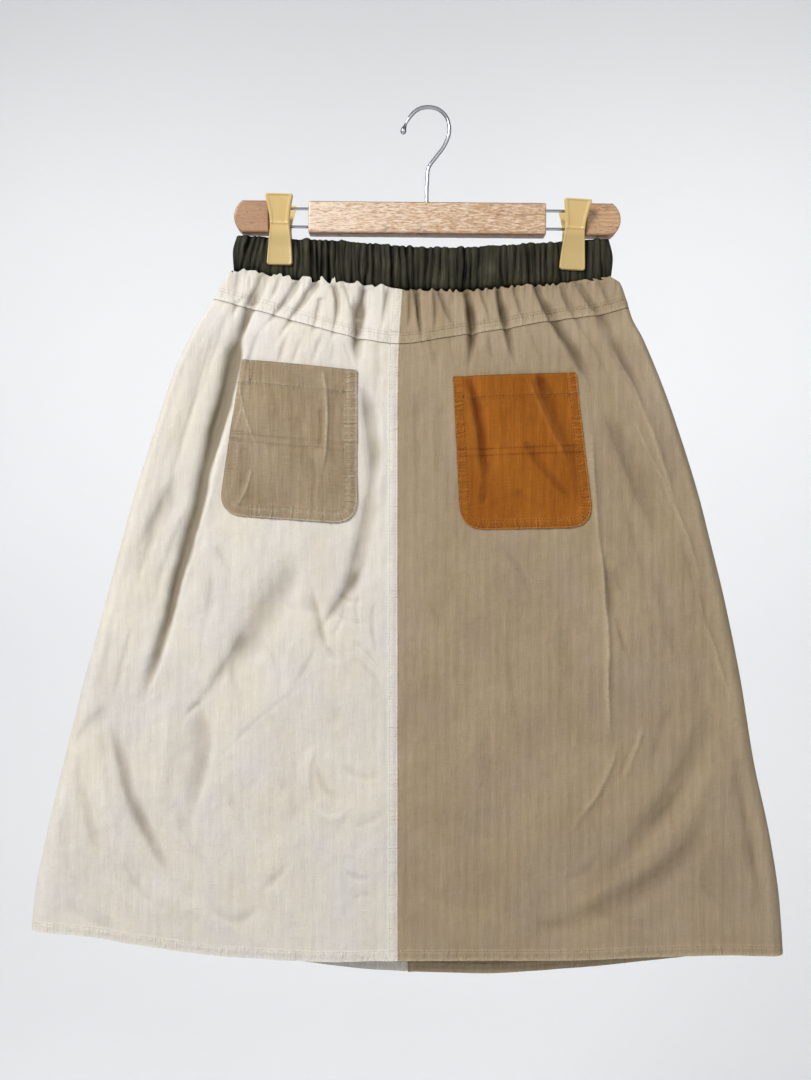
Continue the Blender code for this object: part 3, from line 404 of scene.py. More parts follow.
# Creases of the waistband's front between its gathers, from left to right.
BAND_CREASES = tuple(
    Crease(*row)
    for row in (
        (-181.1, -181.1, 0.4), (-177.3, -178.8, 0.4), (-168.3, -176, 1), (-162.6, -170.3, 0.8),
        (-157.9, -164.6, 0.6), (-153.2, -159.9, 0.8), (-148.5, -149.5, 0.8), (-141.9, -142.8, 0.5),
        (-136.2, -136.2, 0.8), (-130.6, -131.5, 0.5), (-126.8, -127.7, 0.7), (-123, -123, 0.8),
        (-118.3, -118.3, 0.4), (-110.7, -110.7, 0.9), (-106, -104.1, 0.6), (-100.3, -100.3, 0.85),
        (-94.6, -92.7, 1), (-87.1, -88, 0.6), (-84.2, -82.3, 0.5), (-77.6, -79.5, 0.5), (-71.9, -71.9, 0.7),
        (-68.6, -67.2, 0.4), (-63.4, -64.4, 0.6), (-57.8, -58.7, 0.85), (-52.1, -51.2, 0.85),
        (-45.5, -44.5, 0.45), (-40.8, -39.8, 0.4), (-34.1, -34.1, 0.95), (-26.6, -25.6, 0.6),
        (-20.9, -19, 1), (-13.3, -13.3, 0.85), (-7.7, -8.6, 0.4), (-1.1, -3.9, 1), (4.6, 2.7, 0.6),
        (11.2, 10.3, 0.45), (18.8, 19.7, 0.5), (27.3, 26.4, 0.6), (34.9, 33, 0.9), (40.5, 40.1, 0.65),
        (48.1, 46.2, 0.7), (51.4, 51.4, 0.35), (67, 68.9, 0.9), (73.2, 74.6, 0.6), (83.1, 80.2, 0.75),
        (87.8, 86.9, 0.4), (93.5, 95.4, 0.7), (101, 101, 0.5), (106.7, 106.7, 0.4), (112.4, 111.4, 0.7),
        (119, 118, 0.4), (123.7, 125.6, 0.85), (130.3, 130.3, 0.4), (136, 135.1, 0.7), (140.7, 141.7, 0.8),
        (145.5, 145.5, 0.4), (150.2, 149.2, 0.9), (156.8, 155.9, 0.5), (162.9, 164.4, 0.45),
        (168.1, 168.6, 0.4),
    )
)

# The front yokes' upper edge, from left to right.
YOKE_CRESTS = tuple(
    Crest(*row)
    for row in (
        (-184, -156.8), (-180, -156.6), (-176.4, -155), (-173.6, -153.6), (-170.8, -155.4), (-165.2, -155),
        (-162.4, -155.3), (-159.6, -157.6), (-156.8, -156.6), (-154, -157.8), (-151.1, -159.4),
        (-148.3, -160.5), (-145.5, -158.7), (-142.7, -159.2), (-139.9, -157.5), (-137.1, -160.8),
        (-132, -159.5), (-128.7, -163.6), (-123, -164.1), (-117.4, -160.6), (-111.8, -161.3), (-109, -166.6),
        (-103.4, -164.2), (-100.5, -160.7), (-97.7, -164.2), (-92.1, -168.1), (-89.3, -160), (-86.5, -167.1),
        (-81, -166), (-75.2, -168.1), (-69.6, -168.2), (-66.8, -165.9), (-61.2, -170.1), (-52.8, -169.8),
        (-50, -172), (-44.3, -169.4), (-38.7, -171.5), (-33.1, -173.1), (-24.7, -174.6), (-19, -175.9),
        (-16.2, -173.9), (-13.4, -175.6), (-7.8, -174), (-5, -175.9), (0.6, -176.4), (3.5, -173.5),
        (6.3, -175.7), (9.1, -176.3), (12, -173.8), (14.7, -175.8), (17.5, -176.6), (20.3, -174),
        (23.1, -177.5), (25.9, -174.6), (28.8, -177), (31.6, -177), (36, -174), (42.8, -176.2), (46, -173.6),
        (51.2, -175.5), (54, -173), (56.9, -174.3), (59.7, -174.4), (62.5, -171.8), (65.3, -173.4),
        (69, -170.8), (71.9, -172.2), (75.6, -172.7), (78.4, -170), (81.2, -172.3), (84, -169.6),
        (88, -170.6), (92.5, -168.4), (98, -169.8), (100.9, -170.9), (104, -168.6), (109.3, -170.3),
        (112, -167.6), (115, -169.3), (118, -167), (120.6, -168.9), (126, -166.2), (131, -166.5),
        (137, -165), (144, -163.8), (148, -163.2), (155, -165), (158, -162.4), (162.7, -164), (166, -161.6),
        (169.3, -161.4), (173, -159.2), (177, -158.5),
    )
)


# ---------------------------------------------------------------- small tools


def column(table: Sequence[NamedTuple], name: str) -> np.ndarray:
    """One column of a table of named rows, as an array."""
    return np.array([getattr(row, name) for row in table], float)


def smooth(xs: np.ndarray, ys: np.ndarray, x: np.ndarray) -> np.ndarray:
    """Read a curve through points, which doesn't overshoot between them.

    Args:
        xs: the points' places, rising.
        ys: the points' values.
        x: where the curve is read.

    Returns:
        The curve's values.
    """
    x = np.asarray(x, float)
    step = np.diff(xs)
    slope = np.diff(ys) / step
    before, after = slope[:-1], slope[1:]
    same_way = before * after > 0
    safe = np.where(same_way, before + after, 1.0)
    inner = np.where(same_way, 2 * before * after / safe, 0.0)
    ends = np.concatenate([slope[:1], inner, slope[-1:]])
    i = np.clip(np.searchsorted(xs, x) - 1, 0, len(step) - 1)
    t = np.clip((x - xs[i]) / step[i], 0, 1)
    rise = ys[i + 1] - ys[i]
    start, end = ends[i] * step[i], ends[i + 1] * step[i]
    return ys[i] + t * (start + t * ((3 * rise - 2 * start - end) + t * (start + end - 2 * rise)))


def ease(t: np.ndarray) -> np.ndarray:
    """0 before t = 0, 1 after t = 1, and smooth between."""
    t = np.clip(t, 0, 1)
    return t * t * (3 - 2 * t)


def quarter_round(distance: np.ndarray, length: float | np.ndarray) -> np.ndarray:
    """0 at an edge and 1 at `length` from it, along a quarter of an ellipse."""
    return np.sqrt(np.clip(1 - (1 - np.clip(distance / length, 0, 1)) ** 2, 0, 1))


def groove(distance: np.ndarray, at: float, width: float = 0.8) -> np.ndarray:
    """1 on a line at that distance from an edge, and 0 away from it."""
    return np.exp(-(((distance - at) / width) ** 2))


@dataclass(frozen=True)
class Unevenness:
    """Smooth uneven relief from -1 to 1, the same at every run, on cells of a given size in millimetres."""

    seed: int
    wide: float
    tall: float
    size: int = 64

    def at(self, x: np.ndarray, z: np.ndarray) -> np.ndarray:
        """Read the relief.

        Args:
            x: places across, in millimetres.
            z: heights, in millimetres.

        Returns:
            Values from -1 to 1.
        """
        table = np.random.RandomState(self.seed).uniform(-1, 1, (self.size, self.size))
        across, up = np.asarray(x, float) / self.wide, np.asarray(z, float) / self.tall
        i, j = np.floor(across).astype(int), np.floor(up).astype(int)
        s, t = ease(across - i), ease(up - j)
        i0, i1, j0, j1 = i % self.size, (i + 1) % self.size, j % self.size, (j + 1) % self.size
        low = table[i0, j0] * (1 - s) + table[i1, j0] * s
        high = table[i0, j1] * (1 - s) + table[i1, j1] * s
        return low * (1 - t) + high * t


@dataclass(frozen=True)
class Crumple:
    """Facets of crushed cloth: uneven cells that meet in creases, the same at every run, in millimetres."""

    seed: int
    wide: float
    tall: float
    lean: float = 0.0
    size: int = 64

    def at(self, x: np.ndarray, z: np.ndarray) -> np.ndarray:
        """Read the relief, roughly from -0.5 to 0.5, with its creases standing up.

        Args:
            x: places across, in millimetres.
            z: heights, of the same shape.

        Returns:
            The relief.
        """
        table = np.random.RandomState(self.seed).uniform(0, 1, (self.size, self.size, 3))
        across, up = (x + self.lean * z) / self.wide, z / self.tall
        i, j = np.floor(across).astype(int), np.floor(up).astype(int)
        lowest = np.full(across.shape, np.inf)
        for a in (-1, 0, 1):
            for b in (-1, 0, 1):
                cell = table[(i + a) % self.size, (j + b) % self.size]
                away = np.hypot(across - i - a - cell[..., 0], up - j - b - cell[..., 1])
                lowest = np.minimum(lowest, np.sqrt(away**2 + 0.02) + 0.5 * cell[..., 2])
        return lowest - 0.7


FOLD_WANDER = Unevenness(31, 26, 34)  # how far folds stray from their drawn lines
FOLD_TREMBLE = Unevenness(32, 7, 11)
FOLD_STEPS = 12  # straight stretches that each fold's curve is measured on


def strayed(x: np.ndarray, z: np.ndarray) -> np.ndarray:
    """x of the places, shifted as far as folds stray there from their drawn lines."""
    return x + 1.5 * FOLD_WANDER.at(x, z) + 0.5 * FOLD_TREMBLE.at(x, z)


def near_fold(fold: Fold, x: np.ndarray, z: np.ndarray, reach: float) -> np.ndarray:
    """Whether each place is in the box that a fold may reach."""
    near = (x > min(fold.x1, fold.x2, fold.x3) - reach) & (x < max(fold.x1, fold.x2, fold.x3) + reach)
    return near & (z > min(fold.z1, fold.z2, fold.z3) - reach) & (z < max(fold.z1, fold.z2, fold.z3) + reach)


def fold_place(fold: Fold, x: np.ndarray, z: np.ndarray) -> tuple[np.ndarray, np.ndarray, np.ndarray]:
    """Measure places against a fold's curve.

    Args:
        fold: the fold.
        x: places across, in millimetres.
        z: heights, of the same shape.

    Returns:
        Each place's distance from the curve, its share of the curve's length, and how far it is to its right.
    """
    t = np.linspace(0, 1, FOLD_STEPS + 1)
    bend_x = 2 * fold.x2 - (fold.x1 + fold.x3) / 2
    bend_z = 2 * fold.z2 - (fold.z1 + fold.z3) / 2
    path_x = (1 - t) ** 2 * fold.x1 + 2 * t * (1 - t) * bend_x + t**2 * fold.x3
    path_z = (1 - t) ** 2 * fold.z1 + 2 * t * (1 - t) * bend_z + t**2 * fold.z3
    nearest = np.full(x.shape, np.inf)
    along, side = np.zeros(x.shape), np.zeros(x.shape)
    for i in range(FOLD_STEPS):
        dx, dz = path_x[i + 1] - path_x[i], path_z[i + 1] - path_z[i]
        off_x, off_z = x - path_x[i], z - path_z[i]
        s = np.clip((off_x * dx + off_z * dz) / (dx * dx + dz * dz), 0, 1)
        away = np.hypot(off_x - s * dx, off_z - s * dz)
        closer = away < nearest
        along = np.where(closer, (i + s) / FOLD_STEPS, along)
        side = np.where(closer, (off_z * dx - off_x * dz) / math.hypot(dx, dz), side)
        nearest = np.where(closer, away, nearest)
    return nearest, along, side


def fold_relief(
    folds: Iterable[Fold], x: np.ndarray, z: np.ndarray, ends: tuple[float, float] = (0.3, 0.4)
) -> np.ndarray:
    """Add up how far folds sink the cloth.

    Args:
        folds: the folds.
        x: places across the cloth, in millimetres.
        z: heights, of the same shape.
        ends: shares of a fold's length over which it grows and dies away.

    Returns:
        The sink in millimetres, negative on a ridge.
    """
    sink = np.zeros(x.shape)
    x = strayed(x, z)
    for fold in folds:
        near = near_fold(fold, x, z, 3 * fold.width)
        if not near.any():
            continue
        nearest, along, side = fold_place(fold, x[near], z[near])
        fade = ease(along / ends[0]) * ease((1 - along) / ends[1])
        width = fold.width * (0.6 + 0.4 * fade)
        reached = nearest / (width * (1 - fold.skew * np.clip(2 * side / width, -1, 1)))
        form = (1 - fold.crisp) * np.exp(-(reached**2)) + fold.crisp * np.exp(-2.2 * reached)
        lip = fold.lip * np.exp(-(((side - 1.1 * width) / (0.5 * width)) ** 2))
        sink[near] += fold.depth * fade * (form - lip)
    return sink


def painted_ridge_highlights(folds: Iterable[Fold], x: np.ndarray, z: np.ndarray, width: float = 1.6) -> np.ndarray:
    """How much painted highlight each place gets along the top of a ridge, from 0 to 1.

    Args:
        folds: the folds.
        x: places across, in millimetres.
        z: heights, of the same shape.
        width: how wide the painted highlight along a ridge's top is.

    Returns:
        The closeness of each place.
    """
    lines = np.zeros(x.shape)
    x = strayed(x, z)
    for fold in folds:
        near = near_fold(fold, x, z, 3 * width)
        if fold.depth < 0 and near.any():
            nearest, along, _ = fold_place(fold, x[near], z[near])
            # painted highlight, strongest on crisp ridges and fading at their ends
            worn = min(1.0, 1.4 * fold.crisp) * ease(along / 0.15) * ease((1 - along) / 0.3)
            lines[near] = np.maximum(lines[near], worn * np.exp(-((nearest / width) ** 2)))
    return lines


def blurred(values: np.ndarray, cells: float, axis: int) -> np.ndarray:
    """A grid's values, blurred along one axis over a number of cells.

    Args:
        values: the grid.
        cells: how far the blur reaches.
        axis: 0 to blur down the columns, 1 along the rows.

    Returns:
        The blurred grid.
    """
    span = int(3 * cells)
    kernel = np.exp(-0.5 * (np.arange(-span, span + 1) / cells) ** 2)
    kernel /= kernel.sum()
    padded = np.pad(values, [(span, span) if a == axis else (0, 0) for a in (0, 1)], "reflect")
    return np.apply_along_axis(np.convolve, axis, padded, kernel, "valid")


def hollows(points: np.ndarray, reach: float = 10.0) -> np.ndarray:
    """How deep each point of a grid lies under its surroundings.

    Args:
        points: the grid, rows by columns by x, y, z, whose outer side is the one with the larger |y|.
        reach: how far its surroundings go, in millimetres.

    Returns:
        The depths in millimetres, negative on ridges.
    """
    depth = np.abs(points[..., 1])
    surroundings = depth
    for axis in (0, 1):
        pitch = np.linalg.norm(np.diff(points, axis=axis), axis=-1).mean()
        surroundings = blurred(surroundings, reach / pitch, axis)
    return surroundings - depth


def turned(x: np.ndarray, z: np.ndarray, tilt: float) -> tuple[np.ndarray, np.ndarray]:
    """x and z, turned so that their right side hangs lower by `tilt` degrees."""
    turn = math.radians(tilt)
    return x * math.cos(turn) + z * math.sin(turn), z * math.cos(turn) - x * math.sin(turn)


def run_along(points: np.ndarray) -> np.ndarray:
    """Length of the line through some points, up to each of them."""
    return np.concatenate([[0.0], np.cumsum(np.linalg.norm(np.diff(points, axis=0), axis=1))])


# ---------------------------------------------------------------- the cloth's form


@dataclass(frozen=True)
class SkirtForm:
    """The shape that all the cloth follows, in millimetres."""

    band_seam_x: float = -23.5
    back_seam_x: float = -14.5
    band_seam_z: float = -165.0
    middle_drop: float = 60.0
    band_wall: float = 2.0
    gather_rise: float = 3.0
    least_depth: float = 6.2
    hem_width: float = 9.6
    hem_raise: float = 0.5
    felled_width: float = 8.6
    edge_gap: float = 0.05
    broad: Unevenness = Unevenness(3, 58, 96)
    rumple: Unevenness = Unevenness(5, 17, 26)
    crumple: Unevenness = Unevenness(9, 6.5, 8.5)
    crests: Unevenness = Unevenness(12, 3.6, 3.6)
    streaks: Unevenness = Unevenness(14, 6.0, 95)
    tucks: Unevenness = Unevenness(15, 2.7, 14)
    crushed: Crumple = Crumple(17, 36, 58, 0.35)
    creased: Crumple = Crumple(18, 27, 44, -0.5)
    wrinkled: Crumple = Crumple(19, 10, 15, 0.2)

    def across(self, name: str, u: np.ndarray) -> np.ndarray:
        """Height of the seam called name, at u."""
        return smooth(column(SEAMS, "u"), column(SEAMS, name), u)

    def section(self, name: str, z: np.ndarray) -> np.ndarray:
        """A measure of the tube at height z."""
        return smooth(column(SECTIONS, "z"), column(SECTIONS, name), z)

    def half_gap(self, x: np.ndarray) -> np.ndarray:
        """Half the gap between the waistband's two faces at x."""
        return smooth(column(PINCHES, "x"), column(PINCHES, "half_gap"), x)

    def seam_x(self, side: Side, z: np.ndarray) -> np.ndarray:
        """Where the centre seam of that side hangs, at height z."""
        return self.section("front_seam", z) if side is Side.FRONT else np.full(np.shape(z), self.back_seam_x)

    def place_u(self, side: Side, x: np.ndarray, z: np.ndarray) -> np.ndarray:
        """The place across, from -1 to 1, of the point at x and z.

        Args:
            side: the face.
            x: places across, in millimetres.
            z: heights, of the same shape.

        Returns:
            The place of each point.
        """
        middle = self.seam_x(side, z)
        left, right = self.section("left", z), self.section("right", z)
        u = np.where(x < middle, (x - middle) / (middle - left), (x - middle) / (right - middle))
        return np.clip(u, -1, 1)

    def place_x(self, side: Side, u: np.ndarray, z: np.ndarray) -> np.ndarray:
        """The x of the point at u on the section at height z."""
        middle = self.seam_x(side, z)
        left, right = self.section("left", z), self.section("right", z)
        return np.where(u < 0, middle + (middle - left) * u, middle + (right - middle) * u)

    def band_seam(self, x: np.ndarray) -> np.ndarray:
        """Height at x of the seam between the waistband and the yokes."""
        left, right = self.section("left", self.band_seam_z), self.section("right", self.band_seam_z)
        reach = np.where(x < self.band_seam_x, self.band_seam_x - left, right - self.band_seam_x)
        return self.across("band_foot", np.clip((x - self.band_seam_x) / reach, -1, 1))

    def yoke_top(self, side: Side, u: np.ndarray) -> np.ndarray:
        """Height at u of a yoke's upper edge, where it meets the waistband.

        Args:
            side: the face.
            u: places from -1 to 1.

        Returns:
            The heights.
        """
        z = np.full(np.shape(u), self.band_seam_z)
        for _ in range(4):
            z = self.band_seam(self.place_x(side, u, z))
        return z

    def hem(self, side: Side, u: np.ndarray) -> np.ndarray:
        """Height at u of the hem's edge."""
        return self.across("hem" if side is Side.FRONT else "back_hem", u)

    def gathers(self, side: Side) -> tuple[Fold, ...]:
        """Creases between the yoke's gathers; those of the back are as uneven as the front's.

        Args:
            side: the face.

        Returns:
            The creases.
        """
        if side is Side.FRONT:
            return FRONT_GATHERS
        draw = np.random.RandomState(21)
        found, x = [], -172.0
        while x < 160:
            x += draw.uniform(9, 19)
            lean = x * draw.uniform(0.05, 0.2)
            drop = draw.uniform(22, 62)
            depth, width = draw.uniform(1.2, 3.2), draw.uniform(2.6, 4.4)
            line = (x, -171, x + lean * 0.4, -171 - drop / 2, x + lean, -171 - drop)
            found.append(Fold(*line, width, depth, crisp=0.5))
        return tuple(found)

    def seam_relief(self, side: Side, x: np.ndarray, z: np.ndarray, u: np.ndarray) -> np.ndarray:
        """Relief of the sewn edges: felled seams, the hem and their stitch lines.

        Args:
            side: the face.
            x: places across.
            z: heights.
            u: the same places from -1 to 1.

        Returns:
            How far the surface stands out, in millimetres.
        """
        above_hem = z - self.hem(side, u)
        relief = self.hem_raise * (1 - ease((above_hem - self.hem_width + 0.6) / 1.2))
        relief -= 0.4 * groove(above_hem, HEM_STITCHES)
        beside = self.seam_x(side, z) - x
        relief += 0.45 * (beside > 0) * (1 - ease((beside - self.felled_width + 0.5) / 1.0))
        relief -= (beside > 0) * 0.3 * sum(groove(beside, row, 0.7) for row in FELLED_STITCHES)
        above_seam = z - self.across("yoke_seam", u)
        relief += 0.35 * ease(above_seam / 0.4 + 0.5) * (1 - ease((above_seam - 9.9) / 1.2))
        relief -= 0.3 * sum(groove(above_seam, row) for row in YOKE_STITCHES)
        return relief

    def crest(self, side: Side, x: np.ndarray) -> np.ndarray:
        """Height at x of a yoke's upper edge, which stands in uneven puffs over the waistband's seam."""
        if side is Side.FRONT:
            return smooth(column(YOKE_CRESTS, "x"), column(YOKE_CRESTS, "z"), x)
        return self.band_seam(x) + 0.6 + 1.7 * self.crests.at(x, np.zeros(np.shape(x)))

    def depth(self, side: Side, x: np.ndarray, z: np.ndarray, sewn: bool = True) -> np.ndarray:
        """How far the cloth's outer side stands from y = 0.

        Args:
            side: the face.
            x: places across, in millimetres.
            z: heights, in millimetres.
            sewn: whether the seams' own relief and the finest wrinkles are added.

        Returns:
            The distance in millimetres, as an array of the shape of x.
        """
        x, z = np.broadcast_arrays(np.asarray(x, float), np.asarray(z, float))
        u = self.place_u(side, x, z)
        top = self.yoke_top(side, u)
        seam = self.across("yoke_seam", u)
        drop = top - z
        below = ease(drop / self.middle_drop)
        name = "front" if side is Side.FRONT else "back"
        full = self.section(name, z) * (0.78 + 0.22 * np.cos(u * math.pi / 2))
        depth = (self.half_gap(x) + self.band_wall + 0.5) * (1 - below) + full * below
        folds = FRONT_FOLDS if side is Side.FRONT else BACK_FOLDS
        creases = FRONT_CREASES if side is Side.FRONT else BACK_CREASES
        depth = depth - (fold_relief(folds, x, z) + fold_relief(creases, x, z)) * ease(drop / 25)
        lasting = 1 - ease((seam - z + 22) / 95)
        puffed = ease((drop + 8) / 10) * lasting
        depth = depth + self.gather_rise * puffed * (0.85 + 0.25 * self.rumple.at(x, z * 0.3))
        creased = 1.5 * fold_relief(self.gathers(side), x, z, GATHER_ENDS) * np.clip(lasting + 0.25, 0, 1)
        depth = depth - creased * (0.3 + 0.7 * ease((drop + 2) / 8))
        floor = np.where(below > 0.5, self.least_depth, 3.0 + 3.2 * below)
        depth = floor + np.logaddexp(0, (depth - floor) / 0.6) * 0.6
        depth = depth + 0.55 * below * self.broad.at(x, z)
        if sewn:
            depth = depth + self.wrinkles(x, z, u, drop)
            puff = np.clip((self.crest(side, x) - top - 0.6) / 2.5, -1, 1)
            near_band = np.clip(drop, 0, None)
            depth = depth + (0.3 + 0.7 * puff) * np.exp(-near_band / 7)
            depth = depth + 0.7 * self.tucks.at(x, z) * np.exp(-near_band / 16)
            depth = depth + self.seam_relief(side, x, z, u)
        edge = np.abs(x - np.where(u < 0, self.section("left", z), self.section("right", z)))
        return self.edge_gap + depth * quarter_round(edge, self.section("roll", z))

    def wrinkles(self, x: np.ndarray, z: np.ndarray, u: np.ndarray, drop: np.ndarray) -> np.ndarray:
        """Relief of the small wrinkles that cotton keeps after washing.

        Args:
            x: places across.
            z: heights.
            u: the same places from -1 to 1.
            drop: how far they are below the waistband's seam.

        Returns:
            How far the surface stands out, in millimetres.
        """
        lower = ease((drop - 15) / 70)
        limp = np.where(u < 0, 1.0, 0.55)
        relief = limp * (0.9 * self.crushed.at(x, z) - 0.8 * self.creased.at(x, z))
        relief += (0.12 + 0.2 * limp) * self.wrinkled.at(x, z)
        relief += 0.2 * self.rumple.at(x, z) + 0.06 * self.crumple.at(x, z)
        along = (0.1 + 0.14 * np.abs(u)) * self.streaks.at(300 * u, z)
        return lower * relief + ease(drop / 20) * along

    def point(self, side: Side, x: np.ndarray, z: np.ndarray, lift: float | np.ndarray = 0.0) -> np.ndarray:
        """Points on the cloth, `lift` outside it, whose last axis is x, y, z."""
        x, z = np.broadcast_arrays(np.asarray(x, float), np.asarray(z, float))
        return np.stack([x, side.value * (self.depth(side, x, z) + lift), z], -1)


FORM = SkirtForm()


# ---------------------------------------------------------------- meshes


def new_piece(name: str, vertices: np.ndarray, faces: list, material: Material) -> Object:
    """Make a smooth-shaded mesh object.

    Args:
        name: the piece's name.
        vertices: its points in millimetres, one row each.
        faces: lists of vertex numbers.
        material: its finish.

    Returns:
        The object, linked to the scene.
    """
    mesh = bpy.data.meshes.new(name)
    mesh.from_pydata((np.asarray(vertices) * MM).tolist(), [], faces)
    mesh.validate()
    mesh.shade_smooth()
    mesh.materials.append(material)
    obj = bpy.data.objects.new(name, mesh)
    bpy.context.scene.collection.objects.link(obj)
    return obj


def put_uv(obj: Object, uv: np.ndarray) -> None:
    """Give each vertex its place in the flat cloth, in metres, as the UV map "cloth".

    Args:
        obj: the piece.
        uv: two numbers for each vertex, in millimetres.
    """
    layer = obj.data.uv_layers.new(name="cloth")
    corners = np.zeros(len(obj.data.loops), int)
    obj.data.loops.foreach_get("vertex_index", corners)
    layer.data.foreach_set("uv", (uv[corners] * MM).astype(np.float32).ravel())


def put_values(obj: Object, name: str, values: np.ndarray) -> None:
    """Give each vertex a number, or three, that its finish reads."""
    kind, key = ("FLOAT_VECTOR", "vector") if values.ndim == 2 else ("FLOAT", "value")
    attribute = obj.data.attributes.new(name, kind, "POINT")
    attribute.data.foreach_set(key, values.astype(np.float32).ravel())


def grid_normals(points: np.ndarray, ring: bool = False) -> np.ndarray:
    """Unit normals of a grid of points: the cross products of its steps down and its steps along.

    Args:
        points: the grid, rows by columns by x, y, z.
        ring: whether the last column joins the first.

    Returns:
        The normals, in the grid's shape.
    """
    if ring:
        wide = np.concatenate([points[:, -1:], points, points[:, :1]], 1)
        along = (wide[:, 2:] - wide[:, :-2]) / 2
    else:
        along = np.gradient(points, axis=1)
    down = np.gradient(points, axis=0)
    normal = np.cross(down, along)
    return normal / np.maximum(np.linalg.norm(normal, axis=-1, keepdims=True), 1e-9)


def grid_faces(rows: int, columns: int, first: int = 0, ring: bool = False, turned: bool = False) -> list:
    """Quads of a grid of points.

    Args:
        rows: number of rows.
        columns: number of columns.
        first: number of the grid's first vertex.
        ring: whether the last column joins the first.
        turned: whether the faces look the other way.

    Returns:
        The faces as tuples of vertex numbers.
    """
    r, c = np.meshgrid(np.arange(rows - 1), np.arange(columns if ring else columns - 1), indexing="ij")
    d = (c + 1) % columns
    quads = np.stack([r * columns + c, (r + 1) * columns + c, (r + 1) * columns + d, r * columns + d], -1)
    quads = quads.reshape(-1, 4) + first
    return (quads[:, ::-1] if turned else quads).tolist()


def rim_faces(rows: int, columns: int, ring: bool = False) -> list:
    """Faces that close a shell between an outer grid and an inner one with every other row and column of it.

    Args:
        rows: the outer grid's rows, an odd number.
        columns: the outer grid's columns, odd, or even in a ring.
        ring: whether the last column joins the first.

    Returns:
        The faces; the inner grid's vertices are numbered after the outer one's.
    """
    inner_rows, inner_columns = (rows + 1) // 2, columns // 2 if ring else (columns + 1) // 2
    across, down = range(inner_columns), range(inner_rows)
    if ring:
        loops = [[(0, c) for c in across], [(inner_rows - 1, c) for c in reversed(across)]]
    else:
        around = [(0, c) for c in across] + [(r, inner_columns - 1) for r in down[1:]]
        around += [(inner_rows - 1, c) for c in reversed(across[:-1])]
        around += [(r, 0) for r in reversed(down[1:-1])]
        loops = [around]
    faces = []
    for loop in loops:
        for (r, c), (r2, c2) in zip(loop, loop[1:] + loop[:1]):
            wraps = ring and abs(c2 - c) > 1
            middle = columns - 1 if wraps else c + c2
            outer = [2 * r * columns + 2 * c, (r + r2) * columns + middle, 2 * r2 * columns + 2 * c2]
            inner = [rows * columns + r2 * inner_columns + c2, rows * columns + r * inner_columns + c]
            faces.append((*outer, *inner))
    return faces


@dataclass
class Shell:
    """A thin closed cloth: an outer grid of points, and behind it an inner one with a quarter as many.

    `sewn` holds three numbers for each point: how much a seam puckers it, from 0 to 1, its place along that
    seam in millimetres, and how worn it is, with painted highlights on ridges, from 0 to 1; on the waistband
    the first number is instead its painted shade between gathers. `hollow` sets its painted shade: how deep
    it lies under its surroundings in millimetres, with more added in folds and along seams.
    """

    name: str
    outer: np.ndarray
    outward: np.ndarray
    thickness: float | np.ndarray
    uv: np.ndarray
    sewn: np.ndarray | None = None
    hollow: np.ndarray | None = None
    ring: bool = False

    def build(self, material: Material) -> Object:
        """Make the mesh object, with its places in the flat cloth and how it is sewn.

        Args:
            material: its cloth.

        Returns:
            The object.
        """
        rows, columns = self.outer.shape[:2]
        thickness = np.broadcast_to(np.asarray(self.thickness, float), (rows, columns))
        every = (slice(None, None, 2), slice(None, None, 2))
        inner = (self.outer - thickness[..., None] * self.outward)[every]
        vertices = np.concatenate([self.outer.reshape(-1, 3), inner.reshape(-1, 3)])
        turned = float((grid_normals(self.outer, self.ring) * self.outward).sum()) > 0
        faces = grid_faces(rows, columns, 0, self.ring, not turned)
        faces += grid_faces(*inner.shape[:2], rows * columns, self.ring, turned)
        rim = rim_faces(rows, columns, self.ring)
        faces += [tuple(reversed(f)) for f in rim] if turned else rim
        obj = new_piece(self.name, vertices, faces, material)
        put_uv(obj, np.concatenate([self.uv.reshape(-1, 2), self.uv[every].reshape(-1, 2)]))
        sewn = np.zeros((rows, columns, 3)) if self.sewn is None else self.sewn
        put_values(obj, "sewn", np.concatenate([sewn.reshape(-1, 3), sewn[every].reshape(-1, 3)]))
        hollow = np.zeros((rows, columns)) if self.hollow is None else self.hollow
        put_values(obj, "hollow", np.concatenate([hollow.ravel(), hollow[every].ravel()]))
        return obj


def finish_piece(obj: Object, slot: str, *nodes: str) -> Object:
    """Let a piece ride on the part, stand for CAD nodes by hiding them, and report it.

    Args:
        obj: the piece.
        slot: not used.
        nodes: the CAD nodes that it stands for.

    Returns:
        The piece.
    """
    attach(obj, ROOT)
    if nodes:
        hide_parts(*nodes)
    LOG.info("%s: %d faces", obj.name, len(obj.data.polygons))
    return obj


# ---------------------------------------------------------------- finishes


def linear(code: str) -> tuple[float, float, float, float]:
    """Turn an sRGB hex colour, such as "#D9D2CA", into the linear values that shaders take."""
    channels = [int(code[i : i + 2], 16) / 255 for i in (1, 3, 5)]
    return (*[c / 12.92 if c <= 0.04045 else ((c + 0.055) / 1.055) ** 2.4 for c in channels], 1.0)


def set_inputs(tree: NodeTree, node: Node, inputs: dict) -> None:
    """Fill a node's inputs.

    Args:
        tree: the node's tree.
        node: the node.
        inputs: what each input gets, by name or number: a value, another node's output to link, or another
            node, which stands for its main output.
    """
    for key, value in inputs.items():
        if isinstance(value, Node):
            value = value.outputs[2 if value.bl_idname == "ShaderNodeMix" else 0]  # 2 is the mixed colour
        if isinstance(value, NodeSocket):
            tree.links.new(value, node.inputs[key])
        else:
            node.inputs[key].default_value = value


def add_node(tree: NodeTree, kind: str, inputs: dict | None = None, **settings: object) -> Node:
    """Add a node.

    Args:
        tree: the material's node tree.
        kind: the node's type, without its "ShaderNode".
        inputs: what its inputs get, as set_inputs takes it.
        settings: the node's own properties.

    Returns:
        The node.
    """
    node = tree.nodes.new("ShaderNode" + kind)
    for name, value in settings.items():
        setattr(node, name, value)
    set_inputs(tree, node, inputs or {})
    return node


